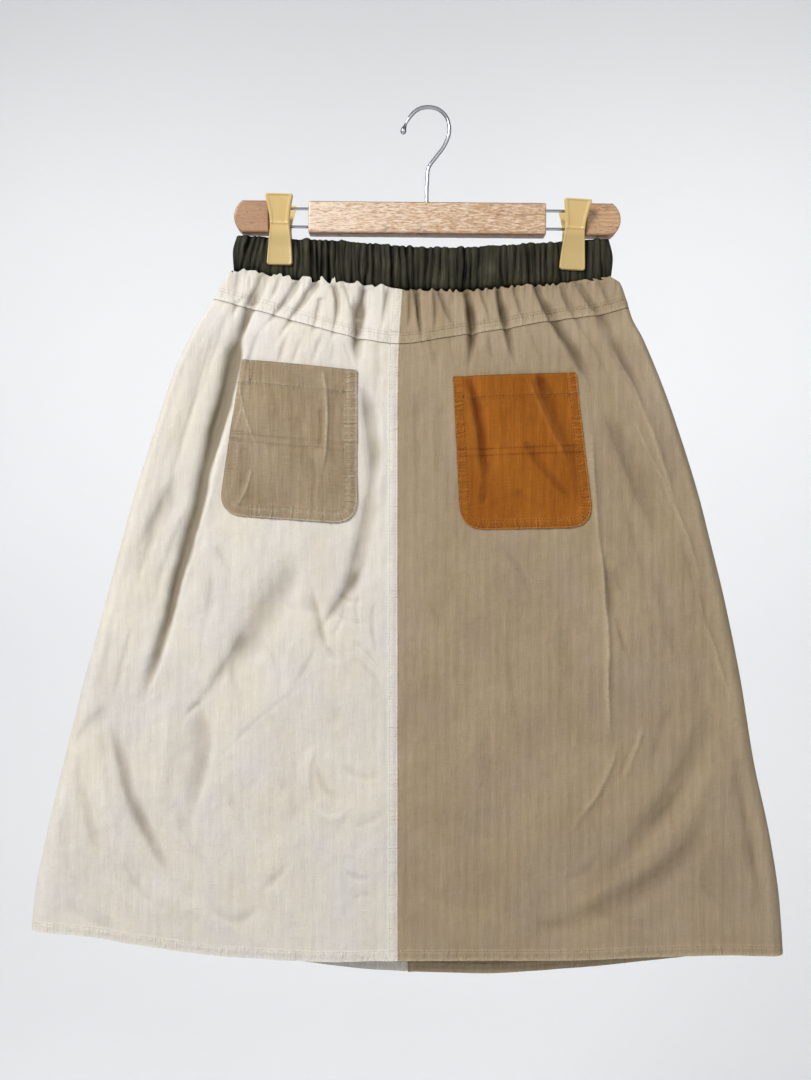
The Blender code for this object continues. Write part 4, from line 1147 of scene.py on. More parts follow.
def new_material(name: str) -> tuple[Material, NodeTree, Node]:
    """An empty material with its node tree and its Principled shader.

    Args:
        name: its name.

    Returns:
        The material, its node tree and its shader.
    """
    material = bpy.data.materials.new(name)
    material.use_nodes = True
    tree = material.node_tree
    return material, tree, tree.nodes["Principled BSDF"]


@dataclass(frozen=True)
class HerringboneCotton:
    """Washed cotton herringbone: matt, with narrow stripes of twill that lean to and fro, slubs and thin
    streaks along the warp, a slight cloudiness from washing, puckers beside its seams and paler edges."""

    # Its hollows get painted shade, and its ridges and the tops of its puckers get painted highlights.
    name: str
    base: str
    dark: str
    light: str
    # paler colour of worn edges and seams, also used as painted highlight on ridges and pucker tops
    worn_and_highlit: str
    # painted shade in hollows, in fold bottoms and along seams
    deep: str
    warm: str = "#FFFDF7"  # casts that washing leaves in its colour
    cool: str = "#FCFBFF"
    stripe: float = 4.8  # mm, width of one leaning stripe
    twill: float = 1.5  # mm between twill lines: really 0.6, drawn coarser so that they show
    ripple: float = 2.1  # mm, scale of the puckers along a seam
    mottle: float = 1.0  # contrast of the streaks and clouds
    least_pucker: float = 0.4  # how puckered a seam is at its calmest
    stripe_tone: float = 0.06  # contrast of the leaning stripes

    def noise(self, tree: NodeTree, place: Node, wide: float, tall: float, detail: float = 2.0) -> Node:
        """Uneven tone on cells of a given width and height in millimetres."""
        spread = add_node(tree, "Mapping", {"Vector": place, "Scale": (1 / (wide * MM), 1 / (tall * MM), 1)})
        cells = {"Vector": spread, "Scale": 1.0, "Detail": detail, "Roughness": 0.6}
        return add_node(tree, "TexNoise", cells)

    def weave(self, tree: NodeTree, place: Node) -> tuple[Node, Node]:
        """The herringbone's leaning twill lines and its stripes, each from -1 to 1.

        Args:
            tree: the material's node tree.
            place: the place in the flat cloth.

        Returns:
            The nodes that give the lines and the stripes.
        """
        across, up, _ = add_node(tree, "SeparateXYZ", {0: place}).outputs
        leaning = add_node(tree, "Math", {0: across, 1: self.stripe * MM}, operation="PINGPONG")
        sloped = add_node(tree, "Math", {0: up, 1: leaning}, operation="ADD")
        lines = add_node(tree, "Math", {0: sloped, 1: 2 * math.pi / (self.twill * MM)}, operation="MULTIPLY")
        bands = add_node(tree, "Math", {0: across, 1: math.pi / (self.stripe * MM)}, operation="MULTIPLY")
        ribs, stripes = (add_node(tree, "Math", {0: turns}, operation="SINE") for turns in (lines, bands))
        return ribs, stripes

    def dyed(self, tree: NodeTree, place: Node, stripes: Node, layers: Sequence[tuple[Node, float]]) -> Node:
        """The cloth's colour before painted shade, painted highlights and wear are laid on it.

        Args:
            tree: the material's node tree.
            place: the place in the flat cloth.
            stripes: the herringbone's stripes.
            layers: uneven tones, each with its share.

        Returns:
            The node that gives the colour.
        """
        start = 0.5 - 0.5 * sum(share for _, share in layers)
        tone = add_node(tree, "Math", {0: stripes, 1: self.stripe_tone, 2: start}, operation="MULTIPLY_ADD")
        for layer, share in layers:
            tone = add_node(tree, "Math", {0: layer, 1: share, 2: tone}, operation="MULTIPLY_ADD")
        ramp = add_node(tree, "ValToRGB", {0: tone})
        ramp.color_ramp.elements[0].color = linear(self.dark)
        ramp.color_ramp.elements[1].color = linear(self.light)
        ramp.color_ramp.elements.new(0.5).color = linear(self.base)
        washed = {"Value": self.noise(tree, place, 60.0, 85.0, 3.0), "From Min": 0.36, "From Max": 0.64}
        cast = {"Factor": add_node(tree, "MapRange", washed), 6: linear(self.warm), 7: linear(self.cool)}
        cast = add_node(tree, "Mix", cast, data_type="RGBA")
        dyed = {"Factor": 1.0, 6: ramp, 7: cast}
        return add_node(tree, "Mix", dyed, data_type="RGBA", blend_type="MULTIPLY")

    def puckers(
        self, tree: NodeTree, place: Node, held: NodeSocket, along: NodeSocket
    ) -> tuple[Node, Node, Node]:
        """Small pleats across the seams.

        Args:
            tree: the material's node tree.
            place: the place in the flat cloth.
            held: how much a seam puckers the cloth.
            along: the place along that seam, in millimetres.

        Returns:
            Nodes that give the pleats' height, the painted shade in their bottoms, and how high their tops
            stand, which sets their painted highlight.
        """
        stray = self.noise(tree, place, 5.0, 5.0)
        along = add_node(tree, "Math", {0: along, 1: 1 / self.ripple}, operation="MULTIPLY")
        along = add_node(tree, "Math", {0: stray, 1: 2.4, 2: along}, operation="MULTIPLY_ADD")
        ripples = add_node(tree, "TexNoise", {"W": along, "Scale": 1.0, "Detail": 2.0}, noise_dimensions="1D")
        some = {"Value": self.noise(tree, place, 9.0, 9.0), "From Min": 0.4, "From Max": 0.6}
        some = add_node(tree, "MapRange", {**some, "To Min": self.least_pucker})
        held = add_node(tree, "Math", {0: held, 1: some}, operation="MULTIPLY")
        pucker = add_node(tree, "Math", {0: held, 1: ripples}, operation="MULTIPLY")
        # painted shade in the pleats' bottoms
        shade = {"Value": ripples, "From Min": 0.3, "From Max": 0.5, "To Min": 0.45, "To Max": 0}
        shade = add_node(tree, "Math", {0: add_node(tree, "MapRange", shade), 1: held}, operation="MULTIPLY")
        # how high the pleats' tops stand, which sets their painted highlight
        return pucker, shade, add_node(tree, "MapRange", {"Value": pucker, "From Min": 0.48, "From Max": 0.7})

    def worn_and_highlit_share(self, tree: NodeTree, place: Node, wear: Node, raised: Node) -> Node:
        """How much of the pale colour shows: wear, with painted highlights on ridges and on the tops of the
        puckers, in patches.

        Args:
            tree: the material's node tree.
            place: the place in the flat cloth.
            wear: how worn the cloth is, with painted highlights on ridges added.
            raised: how high the puckers stand.

        Returns:
            The node that gives the share.
        """
        # painted highlight on the tops of the puckers, added to the wear
        worn_and_highlit_mix = add_node(tree, "Math", {0: raised, 1: 0.4, 2: wear}, operation="MULTIPLY_ADD")
        patchy = {"Value": self.noise(tree, place, 3.0, 3.0), "From Min": 0.3, "From Max": 0.6, "To Min": 0.3}
        patchy = add_node(tree, "MapRange", patchy)
        return add_node(tree, "Math", {0: worn_and_highlit_mix, 1: patchy}, operation="MULTIPLY", use_clamp=True)

    def make(self) -> Material:
        """Build the material.

        Returns:
            The material.
        """
        material, tree, shader = new_material(self.name)
        place = add_node(tree, "UVMap", uv_map="cloth")
        ribs, stripes = self.weave(tree, place)
        streak, slub = self.noise(tree, place, 1.1, 20.0), self.noise(tree, place, 2.8, 70.0)
        weft, cloud = self.noise(tree, place, 11.0, 0.9, 1.0), self.noise(tree, place, 55.0, 75.0, 6.0)
        layers = ((streak, 0.6), (slub, 0.45), (weft, 0.35), (cloud, 0.9))
        colour = self.dyed(tree, place, stripes, [(layer, share * self.mottle) for layer, share in layers])
        sewn = add_node(tree, "Attribute", attribute_name="sewn", attribute_type="GEOMETRY").outputs["Vector"]
        held, along, wear = add_node(tree, "SeparateXYZ", {0: sewn}).outputs
        pucker, shade, raised = self.puckers(tree, place, held, along)
        hollow = add_node(tree, "Attribute", attribute_name="hollow", attribute_type="GEOMETRY")
        hollow = hollow.outputs["Fac"]
        # painted shade: the deeper a place lies in a hollow, the more of the deep colour it takes
        sunk = add_node(tree, "MapRange", {"Value": hollow, "From Min": 0.15, "From Max": 5.0, "To Max": 0.9})
        # painted highlight on ridges, which stand proud of their surroundings
        proud = {"Value": hollow, "From Min": -0.4, "From Max": -2.8, "To Max": 0.35}
        proud = add_node(tree, "MapRange", proud)
        wear = add_node(tree, "Math", {0: wear, 1: proud}, operation="ADD")
        worn_and_highlit_mix = self.worn_and_highlit_share(tree, place, wear, raised)
        # painted shade in pucker bottoms, painted shade in hollows, then wear with painted highlights
        for share, tint in ((shade, self.dark), (sunk, self.deep), (worn_and_highlit_mix, self.worn_and_highlit)):
            colour = add_node(tree, "Mix", {"Factor": share, 6: colour, 7: linear(tint)}, data_type="RGBA")
        seams = add_node(tree, "Bump", {"Height": pucker, "Strength": 1.0, "Distance": 0.0011})
        crush = add_node(tree, "TexVoronoi", {"Vector": place, "Scale": 85.0, "Randomness": 1.0})
        rumple = self.noise(tree, place, 9.0, 14.0, 3.0)
        crush = add_node(tree, "Math", {0: crush, 1: rumple}, operation="MULTIPLY")
        folds = {"Height": crush, "Strength": 0.55, "Distance": 0.0016, "Normal": seams}
        folds = add_node(tree, "Bump", folds)
        height = add_node(tree, "Math", {0: ribs, 1: 0.16, 2: streak}, operation="MULTIPLY_ADD")
        height = add_node(tree, "Math", {0: weft, 1: 0.7, 2: height}, operation="MULTIPLY_ADD")
        bump = {"Height": height, "Strength": 0.8, "Distance": 0.0003, "Normal": folds}
        bump = add_node(tree, "Bump", bump)
        set_inputs(tree, shader, {"Base Color": colour, "Normal": bump, "Roughness": 0.92})
        set_inputs(tree, shader, {"Specular IOR Level": 0.2, "Sheen Weight": 0.05, "Sheen Roughness": 0.5})
        return material


@dataclass(frozen=True)
class CasingSateen:
    """Dark cotton sateen around elastic: smooth, with a soft shine along the tops of its gathers."""

    name: str = "olive_cotton_sateen"
    base: str = "#353326"
    dark: str = "#201F17"
    light: str = "#56543F"
    # painted shade between the gathers and along the band's top and foot
    deep: str = "#030302"  # between the gathers

    def make(self) -> Material:
        """Build the material.

        Returns:
            The material.
        """
        material, tree, shader = new_material(self.name)
        place = add_node(tree, "UVMap", uv_map="cloth")
        warp = add_node(tree, "Mapping", {"Vector": place, "Scale": (1500.0, 60.0, 1)})
        yarn = add_node(tree, "TexNoise", {"Vector": warp, "Scale": 1.0, "Detail": 2.0})
        cloud = add_node(tree, "TexNoise", {"Vector": place, "Scale": 38.0, "Detail": 3.0})
        tone = add_node(tree, "Math", {0: yarn, 1: 0.5, 2: cloud}, operation="MULTIPLY_ADD")
        tone = add_node(tree, "Math", {0: tone, 1: 0.25}, operation="SUBTRACT")
        ramp = add_node(tree, "ValToRGB", {0: tone})
        ramp.color_ramp.elements[0].color = linear(self.dark)
        ramp.color_ramp.elements[1].color = linear(self.light)
        ramp.color_ramp.elements.new(0.5).color = linear(self.base)
        sewn = add_node(tree, "Attribute", attribute_name="sewn", attribute_type="GEOMETRY").outputs["Vector"]
        valley = add_node(tree, "SeparateXYZ", {0: sewn})
        # painted shade from the waistband's valley numbers
        colour = add_node(tree, "Mix", {"Factor": valley, 6: ramp, 7: linear(self.deep)}, data_type="RGBA")
        fine = add_node(tree, "Mapping", {"Vector": place, "Scale": (600.0, 45.0, 1)})
        crush = add_node(tree, "TexNoise", {"Vector": fine, "Scale": 1.0, "Detail": 2.0})
        folds = add_node(tree, "Bump", {"Height": crush, "Strength": 0.8, "Distance": 0.0011})
        bump = add_node(tree, "Bump", {"Height": yarn, "Strength": 0.5, "Distance": 0.00012, "Normal": folds})
        set_inputs(tree, shader, {"Base Color": colour, "Normal": bump})
        set_inputs(tree, shader, {"Roughness": 0.52, "Specular IOR Level": 0.09})
        return material


@dataclass(frozen=True)
class SewingThread:
    """Spun polyester sewing thread: matt, with the twist of its plies."""

    name: str
    base: str

    def make(self) -> Material:
        """Build the material.

        Returns:
            The material.
        """
        material, tree, shader = new_material(self.name)
        where = add_node(tree, "TexCoord").outputs["Object"]
        twist = add_node(tree, "TexNoise", {"Vector": where, "Scale": 2200.0, "Detail": 1.0})
        tint = add_node(tree, "MapRange", {"Value": twist, "To Min": 0.8, "To Max": 1.15})
        tinted = {"Factor": 1.0, 6: linear(self.base), 7: tint}
        colour = add_node(tree, "Mix", tinted, data_type="RGBA", blend_type="MULTIPLY")
        bump = add_node(tree, "Bump", {"Height": twist, "Strength": 0.4, "Distance": 0.0001})
        set_inputs(tree, shader, {"Base Color": colour, "Normal": bump})
        set_inputs(tree, shader, {"Roughness": 0.8, "Specular IOR Level": 0.2})
        return material


@dataclass(frozen=True)
class VarnishedBeech:
    """Steamed beech under thin worn varnish: golden tan, wavy grain with short dark flecks, and pale speckles
    where the varnish has come away, with painted glare that gathers them towards the left end; painted shade
    along its underside and on its left end piece, and darker along its top edge and in stains."""

    name: str = "varnished_beech"
    base: str = "#AE865F"
    pale: str = "#CBA57F"
    # pale speckles where the varnish has come away, with painted glare towards the left end
    lifted_and_glare: str = "#F2DFCB"
    fleck: str = "#7D5233"
    # darker line along the top edge, and stains
    brown_mark: str = "#5E3C24"
    # painted shade along the underside and on the left end piece
    foot: str = "#8E5D33"
    grain: float = 1.6  # mm between growth lines
    fleck_length: float = 4.0  # mm
    slope: float = 0.0087  # how much the hanger's right end hangs low

    def make(self) -> Material:
        """Build the material.

        Returns:
            The material.
        """
        material, tree, shader = new_material(self.name)
        where = add_node(tree, "TexCoord").outputs["Object"]
        long = add_node(tree, "Mapping", {"Vector": where, "Scale": (9.0, 300.0, 1 / (self.grain * MM))})
        lines = add_node(tree, "TexNoise", {"Vector": long, "Scale": 1.0, "Detail": 4.0, "Distortion": 0.6})
        short = (1 / (self.fleck_length * MM), 1200.0, 1400.0)
        short = add_node(tree, "Mapping", {"Vector": where, "Scale": short})
        flecks = add_node(tree, "TexNoise", {"Vector": short, "Scale": 1.0, "Detail": 1.0})
        fleck = add_node(tree, "MapRange", {"Value": flecks, "From Min": 0.58, "From Max": 0.72})
        ramp = add_node(tree, "ValToRGB", {0: lines})
        for element, position, tone in zip(ramp.color_ramp.elements, (0.3, 0.7), (self.base, self.pale)):
            element.position = position
            element.color = linear(tone)
        along, _, up = add_node(tree, "SeparateXYZ", {0: where}).outputs
        wavy = add_node(tree, "Mapping", {"Vector": where, "Scale": (150.0, 300.0, 900.0)})
        lift = add_node(tree, "TexNoise", {"Vector": wavy, "Scale": 1.0, "Detail": 4.0, "Distortion": 0.8})
        # painted glare: the pale speckles grow towards the bar's left end and mostly spare the end pieces
        right = {"Value": along, "From Min": -0.125, "From Max": 0.06, "To Min": 0.13, "To Max": -0.02}
        lift = add_node(tree, "Math", {0: lift, 1: add_node(tree, "MapRange", right)}, operation="ADD")
        bare_and_glare = add_node(tree, "MapRange", {"Value": lift, "From Min": 0.44, "From Max": 0.66, "To Max": 0.78})
        ends = add_node(tree, "Math", {0: along}, operation="ABSOLUTE")
        middle = {"Value": ends, "From Min": 0.112, "From Max": 0.114, "To Min": 1, "To Max": 0.12}
        bare_and_glare = add_node(tree, "Math", {0: bare_and_glare, 1: add_node(tree, "MapRange", middle)}, operation="MULTIPLY")
        level = add_node(tree, "Math", {0: along, 1: self.slope, 2: up}, operation="MULTIPLY_ADD")
        stains = add_node(tree, "TexNoise", {"Vector": where, "Scale": 70.0, "Detail": 3.0})
        # painted shade on the underside and the lowest strip of the front
        foot = {"Value": level, "From Min": -0.1206, "From Max": -0.1172, "To Min": 0.75, "To Max": 0}
        # darker along the top edge
        top = {"Value": level, "From Min": -0.0918, "From Max": -0.0910, "To Max": 0.9}
        # painted shade on the left end piece
        left = {"Value": along, "From Min": -0.116, "From Max": -0.112, "To Min": 0.6, "To Max": 0}
        stained = {"Value": stains, "From Min": 0.62, "From Max": 0.8, "To Max": 0.6}
        marks = ((foot, self.foot), (top, self.brown_mark), (left, self.foot), (stained, self.brown_mark))
        marks = [(add_node(tree, "MapRange", reach), tint) for reach, tint in marks]
        colour = ramp
        for share, tint in ((fleck, self.fleck), (bare_and_glare, self.lifted_and_glare), *marks):
            colour = add_node(tree, "Mix", {"Factor": share, 6: colour, 7: linear(tint)}, data_type="RGBA")
        worn = add_node(tree, "TexNoise", {"Vector": where, "Scale": 420.0, "Detail": 3.0, "Roughness": 0.7})
        rough = {"Value": worn, "From Min": 0.4, "From Max": 0.6, "To Min": 0.28, "To Max": 0.6}
        height = add_node(tree, "Math", {0: fleck, 1: -0.6, 2: worn}, operation="MULTIPLY_ADD")
        bump = add_node(tree, "Bump", {"Height": height, "Strength": 0.5, "Distance": 0.0003})
        set_inputs(tree, shader, {"Base Color": colour, "Roughness": add_node(tree, "MapRange", rough)})
        set_inputs(tree, shader, {"Normal": bump, "Coat Weight": 0.25, "Coat Roughness": 0.25})
        return material


@dataclass(frozen=True)
class MouldedPlastic:
    """Injection-moulded polypropylene that has yellowed: satin, slightly translucent, faint flow marks."""

    name: str = "yellowed_polypropylene"
    base: str = "#D6B572"
    pale: str = "#DCC28A"
    darker_foot: str = "#B39A66"  # darker, greyer tone towards the foot of the jaws

    def make(self) -> Material:
        """Build the material.

        Returns:
            The material.
        """
        material, tree, shader = new_material(self.name)
        where = add_node(tree, "TexCoord").outputs["Object"]
        flow = add_node(tree, "TexNoise", {"Vector": where, "Scale": 45.0, "Detail": 3.0, "Distortion": 0.8})
        tones = {"Factor": flow, 6: linear(self.base), 7: linear(self.pale)}
        colour = add_node(tree, "Mix", tones, data_type="RGBA")
        up = add_node(tree, "SeparateXYZ", {0: where}).outputs[2]
        # darker, greyer tone towards the foot of the jaws
        low = {"Value": up, "From Min": -0.124, "From Max": -0.116, "To Min": 0.6, "To Max": 0}
        darker_foot = {"Factor": add_node(tree, "MapRange", low), 6: colour, 7: linear(self.darker_foot)}
        colour = add_node(tree, "Mix", darker_foot, data_type="RGBA")
        skin = add_node(tree, "TexNoise", {"Vector": where, "Scale": 900.0, "Detail": 2.0})
        scuffs = {"Value": skin, "From Min": 0.3, "From Max": 0.7, "To Min": 0.3, "To Max": 0.44}
        bump = add_node(tree, "Bump", {"Height": skin, "Strength": 0.25, "Distance": 0.0001})
        set_inputs(tree, shader, {"Base Color": colour, "Roughness": add_node(tree, "MapRange", scuffs)})
        set_inputs(tree, shader, {"Normal": bump, "IOR": 1.49})
        set_inputs(tree, shader, {"Subsurface Weight": 0.15, "Subsurface Radius": (0.003, 0.002, 0.001)})
        return material


@dataclass(frozen=True)
class SteelWire:
    """Drawn steel wire: bright where it is plated, with fine marks along its length."""

    name: str
    base: str
    rim: str  # at its edges, where it mirrors what stands beside it
    polish: float  # roughness of its cleanest places
    dullness: float  # roughness of its dullest places

    def make(self) -> Material:
        """Build the material.

        Returns:
            The material.
        """
        material, tree, shader = new_material(self.name)
        where = add_node(tree, "TexCoord").outputs["Object"]
        marks = add_node(tree, "TexNoise", {"Vector": where, "Scale": 600.0, "Detail": 3.0})
        rough = {"Value": marks, "From Min": 0.3, "From Max": 0.7}
        rough = {**rough, "To Min": self.polish, "To Max": self.dullness}
        # painted reflection: the colour turns towards the rim tone where the wire is seen edge-on
        facing = add_node(tree, "LayerWeight", {"Blend": 0.5}).outputs["Facing"]
        rim = add_node(tree, "MapRange", {"Value": facing, "From Min": 0.08, "From Max": 0.5})
        tones = {"Factor": rim, 6: linear(self.base), 7: linear(self.rim)}
        colour = add_node(tree, "Mix", tones, data_type="RGBA")
        bump = add_node(tree, "Bump", {"Height": marks, "Strength": 0.15, "Distance": 0.0001})
        set_inputs(tree, shader, {"Base Color": colour, "Roughness": add_node(tree, "MapRange", rough)})
        set_inputs(tree, shader, {"Normal": bump, "Metallic": 1.0})
        return material


@dataclass(frozen=True)
class StudioPaper:
    """Matt seamless background paper, pale grey."""

    name: str = "studio_paper"
    base: str = "#F2F3F4"

    def make(self) -> Material:
        """Build the material.

        Returns:
            The material.
        """
        material, tree, shader = new_material(self.name)
        where = add_node(tree, "TexCoord").outputs["Object"]
        fibre = add_node(tree, "TexNoise", {"Vector": where, "Scale": 2.0, "Detail": 2.0})
        tint = add_node(tree, "MapRange", {"Value": fibre, "To Min": 0.985, "To Max": 1.01})
        tinted = {"Factor": 1.0, 6: linear(self.base), 7: tint}
        colour = add_node(tree, "Mix", tinted, data_type="RGBA", blend_type="MULTIPLY")
        set_inputs(tree, shader, {"Base Color": colour, "Roughness": 0.95})
        return material


class Finishes:
    """All the materials, made once."""

    def __init__(self) -> None:
        """Build each material."""
        # Each cloth: base, dark, light, pale for worn edges and painted highlights, deep for painted shade.
        cream = ("#D9D3C8", "#CBC2B4", "#E6E1D6", "#EAE5DC", "#7F725C")
        khaki = ("#A18F75", "#8B795E", "#B4A289", "#C3B293", "#5A4A35")
        taupe = ("#9B896F", "#857358", "#AE9C83", "#C9BAA2", "#67563F")
        rust = ("#965715", "#7C430D", "#AC6A22", "#BE7C38", "#571F00")
        pocket = {"least_pucker": 0.85}
        self.cream = HerringboneCotton("cream_cotton_herringbone", *cream, stripe_tone=0.045).make()
        self.khaki = HerringboneCotton("khaki_cotton_herringbone", *khaki, mottle=0.85).make()
        self.taupe = HerringboneCotton("taupe_cotton_herringbone", *taupe, mottle=1.45, **pocket).make()
        self.rust = HerringboneCotton("rust_cotton_herringbone", *rust, mottle=1.15, **pocket).make()
        self.olive = CasingSateen().make()
        self.cream_thread = SewingThread("cream_polyester_thread", "#BDB2A1").make()
        self.khaki_thread = SewingThread("khaki_polyester_thread", "#7A6950").make()
        self.taupe_thread = SewingThread("taupe_polyester_thread", "#9C8970").make()
        self.rust_thread = SewingThread("rust_polyester_thread", "#4E2908").make()
        self.beech = VarnishedBeech().make()
        self.plastic = MouldedPlastic().make()
        self.chrome = SteelWire("chromed_steel_wire", "#D2D4D8", "#4C4E54", 0.12, 0.28).make()
        self.spring = SteelWire("plain_steel_wire", "#A6A6A8", "#6A6A6C", 0.28, 0.5).make()

    def cloth(self, hand: Hand) -> Material:
        """The cloth of that half of the skirt."""
        return self.cream if hand is Hand.LEFT else self.khaki

    def thread(self, hand: Hand) -> Material:
        """The thread of that half of the skirt."""
        return self.cream_thread if hand is Hand.LEFT else self.khaki_thread


# ---------------------------------------------------------------- sewing


@dataclass
class StitchRow:
    """A row of lockstitches along a line on the cloth."""

    path: np.ndarray
    outward: np.ndarray
    pitch: float = 2.9
    length: float = 2.2
    radius: float = 0.24
    sides: int = 5

    def mesh(self, first: int) -> tuple[np.ndarray, list]:
        """Work out the row's stitches.

        Args:
            first: number of the row's first vertex.

        Returns:
            The vertices, and the faces with numbers from `first` on.
        """
        along = run_along(self.path)
        count = int(along[-1] / self.pitch)
        middles = (np.arange(count) + 0.5) * self.pitch
        stations = np.array([-0.5, 0.0, 0.5]) * self.length
        at = middles[:, None] + stations[None, :]
        centre = np.stack([np.interp(at, along, self.path[:, k]) for k in range(3)], -1)
        up = np.stack([np.interp(at, along, self.outward[:, k]) for k in range(3)], -1)
        up /= np.linalg.norm(up, axis=-1, keepdims=True)
        ahead = centre[:, 2:] - centre[:, :1]
        ahead = ahead / np.maximum(np.linalg.norm(ahead, axis=-1, keepdims=True), 1e-9)
        ahead = np.broadcast_to(ahead, up.shape)
        aside = np.cross(up, ahead)
        lift = np.array([-0.55, 0.5, -0.55]) * self.radius
        centre = centre + lift[None, :, None] * up
        angles = 2 * math.pi * np.arange(self.sides) / self.sides
        swell = np.array([0.55, 1.0, 0.55])[None, :, None, None] * self.radius
        ring = np.cos(angles)[:, None] * aside[:, :, None] + np.sin(angles)[:, None] * up[:, :, None]
        points = centre[:, :, None] + swell * ring
        vertices = points.reshape(-1, 3)
        k = self.sides
        one = [
            (r * k + c, r * k + (c + 1) % k, (r + 1) * k + (c + 1) % k, (r + 1) * k + c)
            for r in (0, 1)
            for c in range(k)
        ]
        one += [tuple(reversed(range(k))), tuple(range(2 * k, 3 * k))]
        faces = [tuple(first + 3 * k * n + v for v in face) for n in range(count) for face in one]
        return vertices, faces


def sew(name: str, rows: Sequence[StitchRow], material: Material) -> Object:
    """Make one piece of all the stitches in some rows.

    Args:
        name: the piece's name.
        rows: the rows.
        material: the thread.

    Returns:
        The object.
    """
    vertices, faces = [], []
    for row in rows:
        points, found = row.mesh(sum(len(done) for done in vertices))
        vertices.append(points)
        faces += found
    return new_piece(name, np.concatenate(vertices), faces, material)


def line_on_cloth(side: Side, x: np.ndarray, z: np.ndarray) -> StitchRow:
    """A row of stitches over points on the skirt's panels or yokes.

    Args:
        side: the face.
        x: places across, in millimetres.
        z: heights, of the same shape.

    Returns:
        The row.
    """
    step = 0.3
    across = FORM.point(side, x + step, z) - FORM.point(side, x - step, z)
    normal = np.stack([-across[:, 1], across[:, 0], np.zeros(len(x))], -1)
    normal *= np.where(normal[:, 1] * side.value < 0, -1, 1)[:, None]
    return StitchRow(FORM.point(side, x, z), normal / np.linalg.norm(normal, axis=1, keepdims=True))


# ---------------------------------------------------------------- panels and yokes


